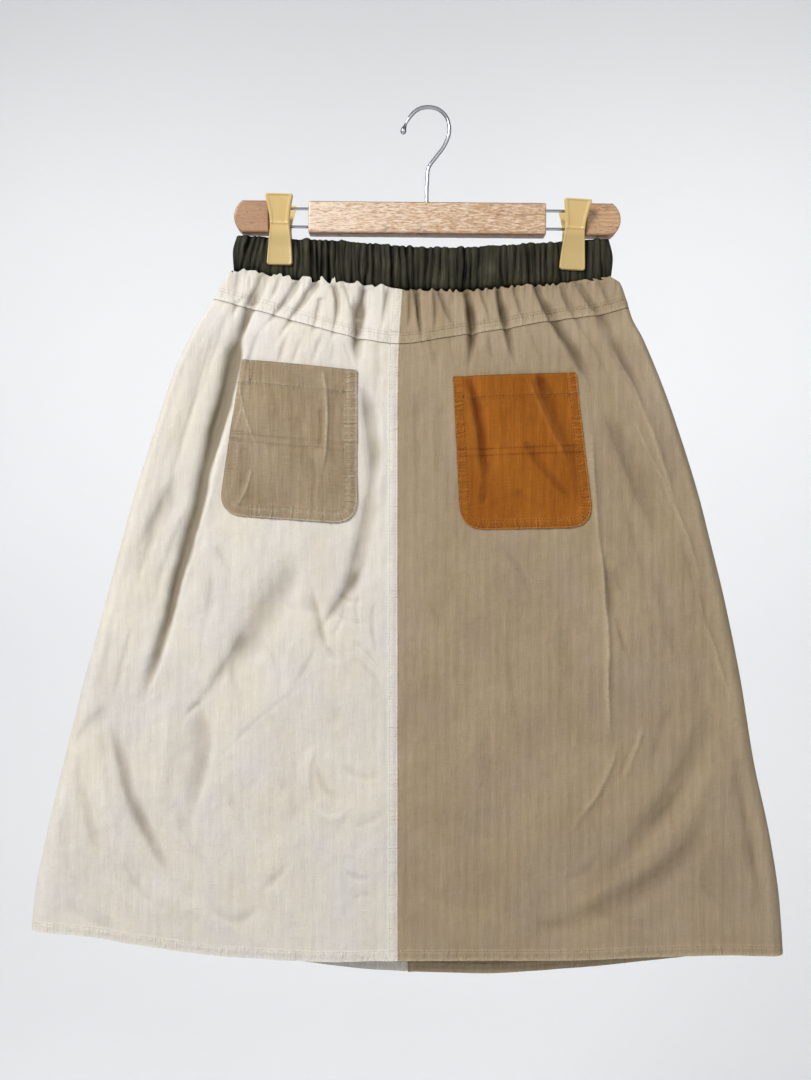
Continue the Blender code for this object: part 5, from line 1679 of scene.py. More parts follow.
@dataclass
class ClothFace:
    """The two panels and two yokes of the skirt's front or back, with their stitching."""

    side: Side
    finishes: Finishes
    columns: int = 214
    rows: int = 277
    yoke_columns: int = 296
    yoke_rows: int = 43
    cloth: float = 0.7
    gathering: float = 1.25
    seam_steps: tuple[float, ...] = (0.0, 0.35, 1.2, 1.9, 2.6, 4.2, 6.0, 6.9, 7.6, 8.3, 9.2, 10.5, 13.0)
    side_steps: tuple[float, ...] = (0.015, 0.01, 0.006, 0.003, 0.0012, 0.0004, 0.0)
    hem_steps: tuple[float, ...] = (15.0, 12.5, 10.8, 9.8, 9.2, 8.7, 8.0, 6.4, 4.6, 2.6, 1.0, 0.35, 0.0)
    foot_steps: tuple[float, ...] = (
        13.5, 11.9, 11.1, 10.4, 9.7, 9.1, 8.4, 7.8, 7.1, 5.6, 3.8, 2.0, 0.9, 0.3, 0.0,
    )

    @property
    def label(self) -> str:
        """The side's name in the pieces' names."""
        return self.side.name.lower()

    def slot(self, hand: Hand) -> str:
        """The name of the finish of that half's cloth."""
        return "cream_cloth" if hand is Hand.LEFT else "khaki_cloth"

    def grid(self, hand: Hand, count: int, heights: HeightsRule) -> tuple[np.ndarray, np.ndarray]:
        """Find x and z of a grid's points, in a few rounds, since each depends on the other.

        Args:
            hand: the half of the skirt.
            count: number of its evenly spaced columns.
            heights: gives the rows' heights in each column, from the columns' x and u.

        Returns:
            x and z, rows by columns, from the centre seam to the side seam.
        """
        near, far = np.array(self.seam_steps), 1 - np.array(self.side_steps)
        even = np.linspace(0, 1, count + 1)[1:-1] * (1 - 1.6 * self.side_steps[0])
        share = np.concatenate([even, far])
        offset = np.concatenate([near, near[-1] + 290 * share])
        x = FORM.seam_x(self.side, np.array(-400.0)) + hand.value * offset
        u = np.clip((x - x[0]) / np.abs(x[-1] - x[0]), -1, 1)
        for _ in range(5):
            z = heights(x, u)
            middle = FORM.seam_x(self.side, z)
            edge = FORM.section("left" if hand is Hand.LEFT else "right", z)
            span = np.abs(edge - middle) - near[-1]
            beyond = near[-1] + span[:, len(near) :] * share
            offset = np.concatenate([np.broadcast_to(near, (len(z), len(near))), beyond], 1)
            x = middle + hand.value * offset
            u = FORM.place_u(self.side, x, z)
        return x, z

    def panel_heights(self, x: np.ndarray, u: np.ndarray) -> np.ndarray:
        """Heights of a panel's rows, close together at the yoke's seam and at the hem.

        Args:
            x: the columns' x, not used.
            u: the same places, from -1 to 1.

        Returns:
            The heights, rows by columns.
        """
        u = np.atleast_2d(u)
        seam, hem = FORM.across("yoke_seam", u[0]), FORM.hem(self.side, u[-1])
        start, stop = seam - 3.0, hem + self.hem_steps[0]
        share = np.linspace(0, 1, self.rows - len(self.hem_steps) - 2)[:-1, None]
        first = [seam + 3.0, seam - 0.15, seam - 0.9]
        rows = first + [start + (stop - start) * share] + [hem + step for step in self.hem_steps]
        return np.concatenate([np.atleast_2d(r) for r in rows])

    def yoke_heights(self, x: np.ndarray, u: np.ndarray) -> np.ndarray:
        """Heights of a yoke's rows: its top edge stands up in puffs over the waistband's seam.

        Args:
            x: the columns' x.
            u: the same places, from -1 to 1.

        Returns:
            The heights, rows by columns.
        """
        foot, top = FORM.across("yoke_seam", np.atleast_2d(u)[-1]), FORM.crest(self.side, np.atleast_2d(x)[0])
        share = np.linspace(0, 1, self.yoke_rows - len(self.foot_steps) + 1)[:-1, None]
        upper = top + (foot + self.foot_steps[0] - top) * share
        return np.concatenate([upper] + [np.atleast_2d(foot + step) for step in self.foot_steps])

    def tucked(self, points: np.ndarray, hand: Hand) -> np.ndarray:
        """Run the right half's edge on behind the left half's, as the felled seam has it.

        Args:
            points: the grid, from the centre seam to the side seam.
            hand: the half of the skirt.

        Returns:
            The grid, which is two columns wider on the right half.
        """
        if hand is Hand.LEFT:
            return points
        edge = points[:, 0] - [0.4, self.side.value * 0.6, 0.0]
        behind = [edge - [run, self.side.value * 0.3, 0.0] for run in (4.0, 2.0)]
        return np.concatenate([np.stack([*behind, edge], 1), points[:, 1:]], 1)

    def sewn(self, points: np.ndarray, cut: Cut) -> np.ndarray:
        """For each point, how much a seam puckers it, its place along that seam, and how worn it is, with
        painted highlights on ridges.

        Args:
            points: the grid, from the centre seam to the side seam.
            cut: the kind of piece.

        Returns:
            Three numbers for each point.
        """
        x, z = points[..., 0], points[..., 2]
        u = FORM.place_u(self.side, x, z)
        above_hem, above_seam = z - FORM.hem(self.side, u), z - FORM.across("yoke_seam", u)
        beside = FORM.seam_x(self.side, z) - x
        across = 1 - ease((above_hem - 8.6) / 1.6)
        if cut is Cut.YOKE:
            across = 0.95 * (1 - ease((above_seam - 10.6) / 3))
            across = across + 0.6 * (1 - ease((FORM.crest(self.side, x) - z) / 7))
        else:
            across = across + 0.45 * (1 - ease((-above_seam - 1.0) / 3.0))
        felled = FELLED_STITCHES[1]
        down = 0.65 * (beside > -0.5) * (1 - ease((beside - felled) / 1.6))
        down = down + 0.25 * (beside < 0) * (1 - ease(-beside / 4))
        wear = 0.6 * (1 - ease((above_hem - 1.0) / 3)) + 0.25 * groove(above_hem, HEM_STITCHES, 1.6)
        wear += 0.35 * (beside > -0.5) * (groove(beside, 0.0, 1.4) + groove(beside, felled, 1.4))
        wear += 0.2 * groove(above_seam, 1.2, 1.5)
        # painted highlights on the tops of the ridges, added to the wear
        if self.side is Side.FRONT:
            wear += 0.6 * painted_ridge_highlights(FRONT_FOLDS + FRONT_CREASES, x, z)
        held = np.clip(np.maximum(across, down), 0, 1)
        return np.stack([held, np.where(across > down, x, z), np.clip(wear, 0, 1)], -1)

    def build_panel(self, hand: Hand) -> Object:
        """One panel, from under the yoke's seam to the hem.

        Args:
            hand: the half of the skirt.

        Returns:
            The piece.
        """
        x, z = self.grid(hand, self.columns, self.panel_heights)
        points = FORM.point(self.side, x, z)
        sunk = np.zeros(len(z))
        sunk[:3] = (1.1, 0.5, 0.12)
        points[..., 1] -= self.side.value * sunk[:, None]
        points = self.tucked(points, hand)
        u = FORM.place_u(self.side, points[..., 0], points[..., 2])
        in_hem = 1 - ease((points[..., 2] - FORM.hem(self.side, u) - 9.2) / 1.2)
        return self.finished(Cut.PANEL, points, self.cloth + 0.7 * in_hem, hand)

    def build_yoke(self, hand: Hand) -> Object:
        """One yoke, from its puffed upper edge to its seam.

        Args:
            hand: the half of the skirt.

        Returns:
            The piece.
        """
        x, z = self.grid(hand, self.yoke_columns, self.yoke_heights)
        points = self.tucked(FORM.point(self.side, x, z), hand)
        return self.finished(Cut.YOKE, points, np.full(points.shape[:2], self.cloth), hand)

    def finished(self, cut: Cut, points: np.ndarray, thickness: np.ndarray, hand: Hand) -> Object:
        """Turn a grid of points into a dressed shell.

        Args:
            cut: the kind of piece.
            points: the outer grid, from the centre seam to the side seam.
            thickness: the cloth's thickness at each point.
            hand: the half of the skirt.

        Returns:
            The piece.
        """
        name = f"{cut.value}_{self.label}_{hand.name.lower()}"
        x, z = points[..., 0], points[..., 2]
        outward = grid_normals(points)
        outward *= -1 if (outward[..., 1] * self.side.value).sum() < 0 else 1
        uv = points[..., [0, 2]] * [self.gathering if cut is Cut.YOKE else 1.0, 1.0]
        u = FORM.place_u(self.side, x, z)
        edge = (1 - np.abs(u)) * 300
        # hollow sets the painted shade: how deep each place lies under its surroundings
        hollow = hollows(points) * ease(edge / 14)
        # more painted shade in the bottoms of the large folds
        for dark in sorted({fold.dark for fold in FRONT_FOLDS}) if self.side is Side.FRONT else ():
            alike = [fold for fold in FRONT_FOLDS if fold.dark == dark]
            hollow += dark * np.clip(fold_relief(alike, x, z), 0, None)
        # a painted shade line just under the yoke's seam
        hollow += 3.8 * groove(z - FORM.across("yoke_seam", u), -0.2, 0.6)
        # painted shade in the right yoke's gather creases
        if hand is Hand.RIGHT:
            hollow += 0.5 * np.clip(fold_relief(FORM.gathers(self.side), x, z, GATHER_ENDS), 0, 1.7)
        shell = Shell(name + "_cloth", points, outward, thickness, uv, self.sewn(points, cut), hollow)
        return finish_piece(shell.build(self.finishes.cloth(hand)), self.slot(hand), name)

    def stitch_rows(self, hand: Hand) -> list[StitchRow]:
        """Rows along the hem, the yoke's seam and, on the left half, the centre seam.

        Args:
            hand: the half of the skirt.

        Returns:
            The rows.
        """
        u = np.linspace(0.01, 0.992, 420) * hand.value
        rows = []
        seam = FORM.across("yoke_seam", u)
        for z in (FORM.hem(self.side, u) + HEM_STITCHES, *(seam + rise for rise in YOKE_STITCHES)):
            rows.append(line_on_cloth(self.side, FORM.place_x(self.side, u, z), z))
        if hand is Hand.LEFT:
            foot = float(FORM.hem(self.side, np.array([0.0]))[0])
            top = float(FORM.yoke_top(self.side, np.array([0.0]))[0])
            for beside in FELLED_STITCHES:
                z = np.linspace(top - 3, foot + 1, 500)
                rows.append(line_on_cloth(self.side, FORM.seam_x(self.side, z) - beside, z))
        return rows

    def build(self) -> None:
        """Build this face's four pieces of cloth and its stitching."""
        for hand in Hand:
            yoke = self.build_yoke(hand)
            panel = self.build_panel(hand)
            word = hand.name.lower()
            rows, thread = self.stitch_rows(hand), self.finishes.thread(hand)
            sewing = [finish_piece(sew(f"stitches_{self.label}_{word}", rows, thread), self.slot(hand))]


# ---------------------------------------------------------------- waistband


@dataclass
class Waistband:
    """The elastic's casing: one ring of dark cloth, drawn up in gathers."""

    finishes: Finishes
    front_columns: int = 620
    back_columns: int = 420
    rise: float = 4.6
    roll: float = 4.0
    top_round: float = 2.6
    foot_round: float = 6.5
    clip_reach: float = 16.0
    clip_middles: tuple[float, float] = (-139.0, 138.9)
    height: float = 42.0
    upper_shares: tuple[float, ...] = (0.0, 0.015, 0.04, 0.08, 0.14, 0.21, 0.29, 0.37, 0.45)
    lower_shares: tuple[float, ...] = (0.53, 0.61, 0.69, 0.76, 0.82, 0.87, 0.92, 0.95, 0.98, 1.0)

    @property
    def shares(self) -> tuple[float, ...]:
        """How far down the band its rows of points are, as shares of its height."""
        return self.upper_shares + self.lower_shares

    def ends(self, share: float) -> tuple[float, float]:
        """x of the band's left and right end, `share` of the way down it."""
        shares = column(BAND_ENDS, "share")
        left, right = (float(smooth(shares, column(BAND_ENDS, name), share)) for name in ("left", "right"))
        return left, right

    def creases(self, side: Side) -> np.ndarray:
        """The creases of one face: rows of top x, foot x and depth.

        Args:
            side: the face.

        Returns:
            The creases, one to a row.
        """
        if side is Side.FRONT:
            return np.array(BAND_CREASES, float)
        draw = np.random.RandomState(34)
        rows, x = [], -181.0
        while x < 170:
            rows.append((x, x + draw.uniform(-2.2, 2.2), draw.uniform(0.35, 1.0)))
            x += draw.uniform(4.0, 10.0)
        return np.array(rows)

    def between(self, side: Side, x: np.ndarray, share: float) -> tuple[np.ndarray, np.ndarray, np.ndarray]:
        """For each x, the number of the crease on its left, the gap to the next and its place in that gap.

        Args:
            side: the face.
            x: places across, in millimetres.
            share: how far down the band, as a share of its height.

        Returns:
            The numbers, the gaps and the places, which go from 0 to 1.
        """
        table = self.creases(side)
        x = x + 1.1 * Unevenness(40, 11.0, 0.5).at(x, np.full(x.shape, share))
        at = table[:, 0] * (1 - share) + table[:, 1] * share
        at = np.maximum.accumulate(at + np.arange(len(at)) * 1e-6)
        i = np.clip(np.searchsorted(at, x) - 1, 0, len(at) - 2)
        gap = np.maximum(at[i + 1] - at[i], 0.5)
        return i, gap, np.clip((x - at[i]) / gap, 0, 1)

    def puff(self, side: Side, x: np.ndarray, share: float) -> np.ndarray:
        """Height of the gathers at x, from 0 to 1, `share` of the way down the band.

        Args:
            side: the face.
            x: places across, in millimetres.
            share: how far down the band, as a share of its height.

        Returns:
            The heights.
        """
        table = self.creases(side)
        down = np.full(x.shape, share)
        i, gap, t = self.between(side, x, share)
        number = np.arange(len(table)) * 3.0
        uneven = Unevenness(45, 1.0, 0.34).at(number, np.full(len(table), share))
        depth = table[:, 2] ** 1.7 * (0.8 + 0.5 * uneven)
        level = (1 - np.clip(depth, 0, 1)) * 0.8
        peak = np.clip(gap / 7.0, 0.35, 1.0) * (0.8 + 0.3 * Unevenness(46, 1.0, 0.4).at(i * 3.0, down))
        base = (level[i] * (1 - t) + level[i + 1] * t) * peak
        lean = t ** (1 + 0.35 * Unevenness(47, 1.0, 0.6).at(i * 3.0, down))
        folds = 0.1 * Unevenness(43, 1.9, 0.7).at(x, down) + 0.05 * Unevenness(44, 0.9, 0.4).at(x, down)
        return base + (peak - base) * (1 - np.abs(2 * lean - 1) ** 1.6) + folds

    def places(self, side: Side, share: float, inset: float = 0.0) -> np.ndarray:
        """x of a row's points on one face, from the band's left end to its right one.

        Args:
            side: the face.
            share: how far down the band, as a share of its height.
            inset: how far inside the band's ends the row stays.

        Returns:
            The row's x.
        """
        left, right = self.ends(share)
        turn = np.linspace(0, 1, self.front_columns if side is Side.FRONT else self.back_columns)
        pace = turn * 0.9 + (0.5 - 0.5 * np.cos(np.pi * turn)) * 0.1
        return left + inset + (right - left - 2 * inset) * pace

    def valleys(self, side: Side) -> np.ndarray:
        """How much painted shade each point of one face gets, from 0 to 1, rows by columns of the ring.

        Args:
            side: the face.

        Returns:
            The shares of painted shade.
        """
        rows = []
        for share in self.shares:
            x = self.places(side, share)
            # painted shade: deep between the gathers, a line along each crease, and more along the band's top
            # and foot
            deep = 1 - ease((self.puff(side, x, share) - 0.05) / 0.42)
            i, gap, t = self.between(side, x, share)
            sharp = self.creases(side)[:, 2][np.where(t < 0.5, i, i + 1)]
            sharp = sharp * (0.85 + 0.5 * Unevenness(48, 1.0, 0.3).at(i * 3.0, np.full(x.shape, share)))
            line = 1.4 * sharp * np.exp(-((np.minimum(t, 1 - t) * gap / (0.8 + 1.3 * sharp)) ** 2))
            edge = max(1 - share / 0.06, 1 - (1 - share) / 0.1, 0.0)
            rows.append(np.clip(np.maximum(0.95 * deep, line) + 0.35 * edge, 0, 0.97))
        grid = np.array(rows)
        return grid[:, :-1] if side is Side.FRONT else grid[:, :0:-1]

    def ring_row(self, share: float, inside: bool) -> np.ndarray:
        """One row of the ring's points, from the left end over the front to the right end and back.

        Args:
            share: how far down the band, as a share of its height.
            inside: whether the row is on the band's inner side.

        Returns:
            The points.
        """
        left, right = self.ends(share)
        inset = FORM.band_wall if inside else 0.0
        low, high = left + inset, right - inset
        points = []
        for side in (Side.FRONT, Side.BACK):
            x = self.places(side, share, inset)
            edge = np.minimum(x - low, high - x)
            reach = np.where(x < FORM.band_seam_x, FORM.band_seam_x - left, right - FORM.band_seam_x)
            u = np.clip((x - FORM.band_seam_x) / reach, -1, 1)
            top, foot = FORM.across("band_top", u), FORM.band_seam(x)
            puff = self.puff(side, x, share)
            pressed = sum(np.exp(-(((x - m) / self.clip_reach) ** 6)) for m in self.clip_middles)
            ruffle = 1.7 * (puff - 0.5) * (1 - 0.9 * pressed)
            z = (top + ruffle * (1 - ease(np.array(share / 0.3)))) * (1 - share) + foot * share
            depth = FORM.half_gap(x)
            if not inside:
                height = top - foot
                rounded = quarter_round(share * height, self.top_round)
                rounded = rounded * quarter_round((1 - share) * height, self.foot_round)
                rise = self.rise * puff * (0.8 + 0.2 * math.sin(math.pi * share)) * (1 - 0.85 * pressed)
                depth = depth + 0.3 + (FORM.band_wall - 0.3 + rise) * rounded
            depth = np.maximum(depth * quarter_round(edge, self.roll - inset), 0.0)
            row = np.stack([x, side.value * depth, z], -1)
            points.append(row[:-1] if side is Side.FRONT else row[:0:-1])
        return np.concatenate(points)

    def build(self) -> Object:
        """Build the ring.

        Returns:
            The piece.
        """
        outer = np.array([self.ring_row(share, False) for share in self.shares])
        inner = np.array([self.ring_row(share, True) for share in self.shares])
        gap = outer - inner
        length = np.maximum(np.linalg.norm(gap, axis=-1), 1e-6)
        steps = np.linalg.norm(np.diff(outer, axis=1), axis=-1).mean(0)
        s = np.concatenate([[0.0], np.cumsum(steps)])
        t = -np.array(self.shares) * self.height
        uv = np.stack(np.broadcast_arrays(s[None, :], t[:, None]), -1)
        # painted shade between the gathers, carried as the first of the sewn numbers
        depth = np.concatenate([self.valleys(side) for side in (Side.FRONT, Side.BACK)], 1)
        sewn = np.stack([depth, np.zeros(depth.shape), np.zeros(depth.shape)], -1)
        shell = Shell("waistband_cloth", outer, gap / length[..., None], length, uv, sewn, ring=True)
        band = finish_piece(shell.build(self.finishes.olive), "olive_cloth", "waistband")
        return band


# ---------------------------------------------------------------- pockets


@dataclass
class PatchPocket:
    """A patch pocket: hemmed mouth, turned edges, two rows of stitches across, and its own creases."""

    name: str
    slot: str
    corners: tuple[tuple[float, float], ...]  # top left, top right, foot right, foot left
    mouth_hem: float
    cross_rows: tuple[float, float]  # below the mouth, as shares of the pocket's height
    folds: tuple[Fold, ...]
    cloth: Material
    thread: Material
    left_pucker: float = 1.0  # how much its left edge is puckered
    row_shade: float = 2.4  # painted shade along its rows of stitches, in millimetres of hollow
    radius: float = 24.0
    columns: int = 119
    rows: int = 131
    turned_width: float = 8.6
    stand: float = 0.35
    thickness: float = 0.65
    puckered: float = 8.6  # how far in its edge is puckered
    fold_ends: tuple[float, float] = (0.15, 0.25)  # shares over which its folds grow and die away

    @property
    def tall(self) -> float:
        """Its height at its left edge."""
        return self.corners[0][1] - self.corners[3][1]

    @property
    def mouth_row(self) -> float:
        """How far below the mouth the stitches of the mouth's hem run."""
        return self.mouth_hem - 0.6

    @property
    def rows_across(self) -> list[float]:
        """How far below the mouth the two rows across it run."""
        return [share * self.tall for share in self.cross_rows]

    def outline(self) -> np.ndarray:
        """The pocket's edge from its top left corner down, along and up to its top right corner.

        Returns:
            The points' x and z.
        """
        top_left, top_right, foot_right, foot_left = (np.array(c, float) for c in self.corners)
        points = [top_left]
        for corner, before, after in ((foot_left, top_left, foot_right), (foot_right, foot_left, top_right)):
            start = corner + self.radius * (before - corner) / np.linalg.norm(before - corner)
            end = corner + self.radius * (after - corner) / np.linalg.norm(after - corner)
            for t in np.linspace(0, 1, 14):
                points.append((1 - t) ** 2 * start + 2 * t * (1 - t) * corner + t * t * end)
        points.append(top_right)
        return np.array(points)

    def edge_place(self, x: np.ndarray, z: np.ndarray) -> tuple[np.ndarray, np.ndarray]:
        """Distance from the sewn edge, and the length along that edge to the nearest place on it.

        Args:
            x: places across, in millimetres.
            z: heights, of the same shape.

        Returns:
            Both, in millimetres.
        """
        line = self.outline()
        best, along, run = np.full(x.shape, np.inf), np.zeros(x.shape), 0.0
        for (ax, az), (bx, bz) in zip(line[:-1], line[1:]):
            dx, dz = bx - ax, bz - az
            long = math.hypot(dx, dz)
            s = np.clip(((x - ax) * dx + (z - az) * dz) / long**2, 0, 1)
            away = np.hypot(x - ax - s * dx, z - az - s * dz)
            closer = away < best
            along = np.where(closer, run + s * long, along)
            best = np.where(closer, away, best)
            run += long
        return best, along

    def mouth_drop(self, x: np.ndarray, z: np.ndarray) -> np.ndarray:
        """How far below the mouth's edge a place is."""
        (ax, az), (bx, bz) = self.corners[:2]
        return az + (bz - az) * (x - ax) / (bx - ax) - z

    def places(self) -> tuple[np.ndarray, np.ndarray]:
        """x and z of the grid's points, which fill the outline.

        Returns:
            Both, rows by columns.
        """
        line = self.outline()
        middle = len(line) // 2
        pace = np.linspace(0, 1, self.rows)
        pace = np.sin(pace * math.pi / 2) * 0.35 + pace * 0.65
        edges = []
        for edge in (line[:middle], line[middle:][::-1]):
            run = run_along(edge)
            edges.append(np.stack([np.interp(pace * run[-1], run, edge[:, k]) for k in (0, 1)], -1)[:, None])
        share = np.linspace(0, 1, self.columns)
        share = (share * 0.86 + 0.14 * (0.5 - 0.5 * np.cos(np.pi * share)))[:, None]
        grid = edges[0] * (1 - share) + edges[1] * share
        return grid[..., 0], grid[..., 1]

    def lift(self, x: np.ndarray, z: np.ndarray) -> np.ndarray:
        """How far the pocket's outer side stands off the panel.

        Args:
            x: places across, in millimetres.
            z: heights, of the same shape.

        Returns:
            The distances, in millimetres.
        """
        away, along = self.edge_place(x, z)
        drop = self.mouth_drop(x, z)
        in_turn = 1 - ease((away - self.turned_width + 0.5) / 1.2)
        pucker = Unevenness(51, 2.2, 3.1).at(along, away * 0.35)
        lift = self.stand + self.thickness + in_turn * (0.25 + 0.2 * pucker)
        near, far = POCKET_STITCHES
        lift -= 0.3 * groove(away, near, 0.7) + 0.35 * groove(away, far, 0.8)
        in_mouth = 1 - ease((drop - self.mouth_hem + 0.4) / 1.2)
        lift += 0.3 * in_mouth - 0.35 * groove(drop, self.mouth_row, 0.9)
        for row in self.rows_across:
            lift -= 0.32 * groove(drop, row, 0.9)
        centre = np.clip(away / 40, 0, 1)
        lift += 1.5 * ease(centre) * (1 - ease(drop / 55)) + 0.5 * ease(centre)
        lift -= fold_relief(self.folds, x, z, self.fold_ends) * ease(away / 5 + 0.3)
        lift += 0.16 * Unevenness(60, 13, 17).at(x, z) + 0.3 * Crumple(62, 17, 24, 0.3).at(x, z)
        return np.maximum(lift, self.stand + 0.35)

    def surface(self, x: np.ndarray, z: np.ndarray) -> np.ndarray:
        """Points on the pocket's outer side."""
        base = FORM.depth(Side.FRONT, x, z, sewn=False)
        return np.stack([x, -(base + self.lift(x, z)), z], -1)

    def stitch_rows(self) -> list[StitchRow]:
        """The rows along the edge, under the mouth's hem and across.

        Returns:
            The rows.
        """
        line = self.outline()
        steps = run_along(line)
        at = np.linspace(0, steps[-1], 300)
        edge = np.stack([np.interp(at, steps, line[:, k]) for k in (0, 1)], -1)
        ahead = np.gradient(edge, axis=0)
        ahead /= np.linalg.norm(ahead, axis=1, keepdims=True)
        inward = np.stack([-ahead[:, 1], ahead[:, 0]], -1)
        centre = line.mean(0)
        if ((centre - edge[150]) * inward[150]).sum() < 0:
            inward = -inward
        near, far = POCKET_STITCHES
        lines = [edge + inward * near, (edge + inward * far)[14:-14]]
        top_left, top_right, foot_right, foot_left = self.corners
        for drop in (self.mouth_row, *self.rows_across):
            lean = drop / self.tall
            start = np.array([top_left[0] + (foot_left[0] - top_left[0]) * lean + 1.8, top_left[1] - drop])
            end = np.array([top_right[0] + (foot_right[0] - top_right[0]) * lean - 1.8, top_right[1] - drop])
            lines.append(start + (end - start) * np.linspace(0, 1, 120)[:, None])
        rows = []
        for points in lines:
            here = self.surface(points[:, 0], points[:, 1])
            rows.append(StitchRow(here, np.broadcast_to([0.0, -1.0, 0.0], here.shape), radius=0.26))
        return rows

    def build(self) -> None:
        """Build the pocket and its stitches."""
        x, z = self.places()
        points = self.surface(x, z)
        outward = grid_normals(points)
        outward *= -1 if outward[..., 1].sum() > 0 else 1
        away, along = self.edge_place(x, z)
        drop = self.mouth_drop(x, z)
        wear = 0.5 * (1 - ease(away / 3.0)) + 0.3 * groove(away, POCKET_STITCHES[1], 1.2)
        wear = wear + 0.4 * (1 - ease(drop / 2.2))
        # painted highlights on the ridges of the pocket's folds, added to the wear
        wear += 0.25 * groove(drop, self.mouth_row, 1.4) + 0.5 * painted_ridge_highlights(self.folds, x, z, 0.9)
        pucker = np.where(x < x.mean() - 40, self.left_pucker, 1.0)
        turned = (1 - ease((away - self.puckered + 0.8) / 2.4)) * pucker
        rows = 0.6 * groove(drop, self.mouth_row, 2.4) + 0.35 * (1 - ease((drop - self.mouth_hem) / 2.0))
        rows += sum(0.5 * groove(drop, row, 2.2) for row in self.rows_across)
        held = np.clip(np.maximum(turned, rows), 0, 1)
        sewn = np.stack([held, np.where(turned > rows, along, x), np.clip(wear, 0, 1)], -1)
        uv = np.stack([x - x.min(), z], -1)
        # painted shade in hollows, in the folds' bottoms and along the rows of stitches
        hollow = 2.0 * hollows(points, 5.0) * ease(away / 3)
        hollow += 0.5 * np.clip(fold_relief(self.folds, x, z, self.fold_ends), 0, None)
        hollow += self.row_shade * sum(groove(drop, row, 0.55) for row in self.rows_across)
        hollow += 0.8 * self.row_shade * groove(drop, self.mouth_row, 0.5)
        shell = Shell(self.name + "_cloth", points, outward, self.thickness, uv, sewn, hollow)
        pocket = finish_piece(shell.build(self.cloth), self.slot, self.name)
        stitches = finish_piece(sew("stitches_" + self.name, self.stitch_rows(), self.thread), self.slot)


# ---------------------------------------------------------------- hanger


class Bend(NamedTuple):
    """A point on the middle of the hook's wire, and how thick the wire is there."""

    x: float
    z: float
    thickness: float


HOOK_BENDS = (
    Bend(-0.8, -106.5, 1.0),
    Bend(-0.8, -70.0, 1.0),
    Bend(0.9, -55.2, 1.0),
    Bend(7.6, -45.8, 1.0),
    Bend(15.8, -34.4, 1.0),
    Bend(20.3, -21.5, 1.0),
    Bend(17.2, -7.2, 1.0),
    Bend(9.0, 0.0, 1.0),
    Bend(0.0, 1.75, 1.0),
    Bend(-8.6, 0.0, 1.0),
    Bend(-16.9, -7.2, 1.0),
    Bend(-22.2, -17.2, 1.0),
    Bend(-23.0, -19.4, 1.45),
    Bend(-23.4, -21.1, 1.6),
    Bend(-23.8, -22.8, 1.3),
    Bend(-24.0, -23.8, 0.5),
)


def tube(name: str, path: np.ndarray, radii: np.ndarray, material: Material, sides: int = 16) -> Object:
    """Make a closed round tube along a path.

    Args:
        name: the piece's name.
        path: points along its middle.
        radii: its radius at each point.
        material: its finish.
        sides: points around it.

    Returns:
        The object.
    """
    ahead = np.gradient(path, axis=0)
    ahead /= np.linalg.norm(ahead, axis=1, keepdims=True)
    up = np.array([0.0, 1.0, 0.0]) if abs(ahead[0, 1]) < 0.9 else np.array([0.0, 0.0, 1.0])
    frames = []
    for direction in ahead:
        up = up - direction * (up @ direction)
        up = up / np.linalg.norm(up)
        frames.append((up, np.cross(direction, up)))
    angles = 2 * math.pi * np.arange(sides) / sides
    rings = [
        centre + radius * (np.cos(angles)[:, None] * a + np.sin(angles)[:, None] * b)
        for centre, radius, (a, b) in zip(path, radii, frames)
    ]
    points = np.array(rings)
    faces = grid_faces(len(path), sides, 0, ring=True, turned=True)
    last = (len(path) - 1) * sides
    faces += [tuple(range(sides)), tuple(last + k for k in reversed(range(sides)))]
    return new_piece(name, points.reshape(-1, 3), faces, material)


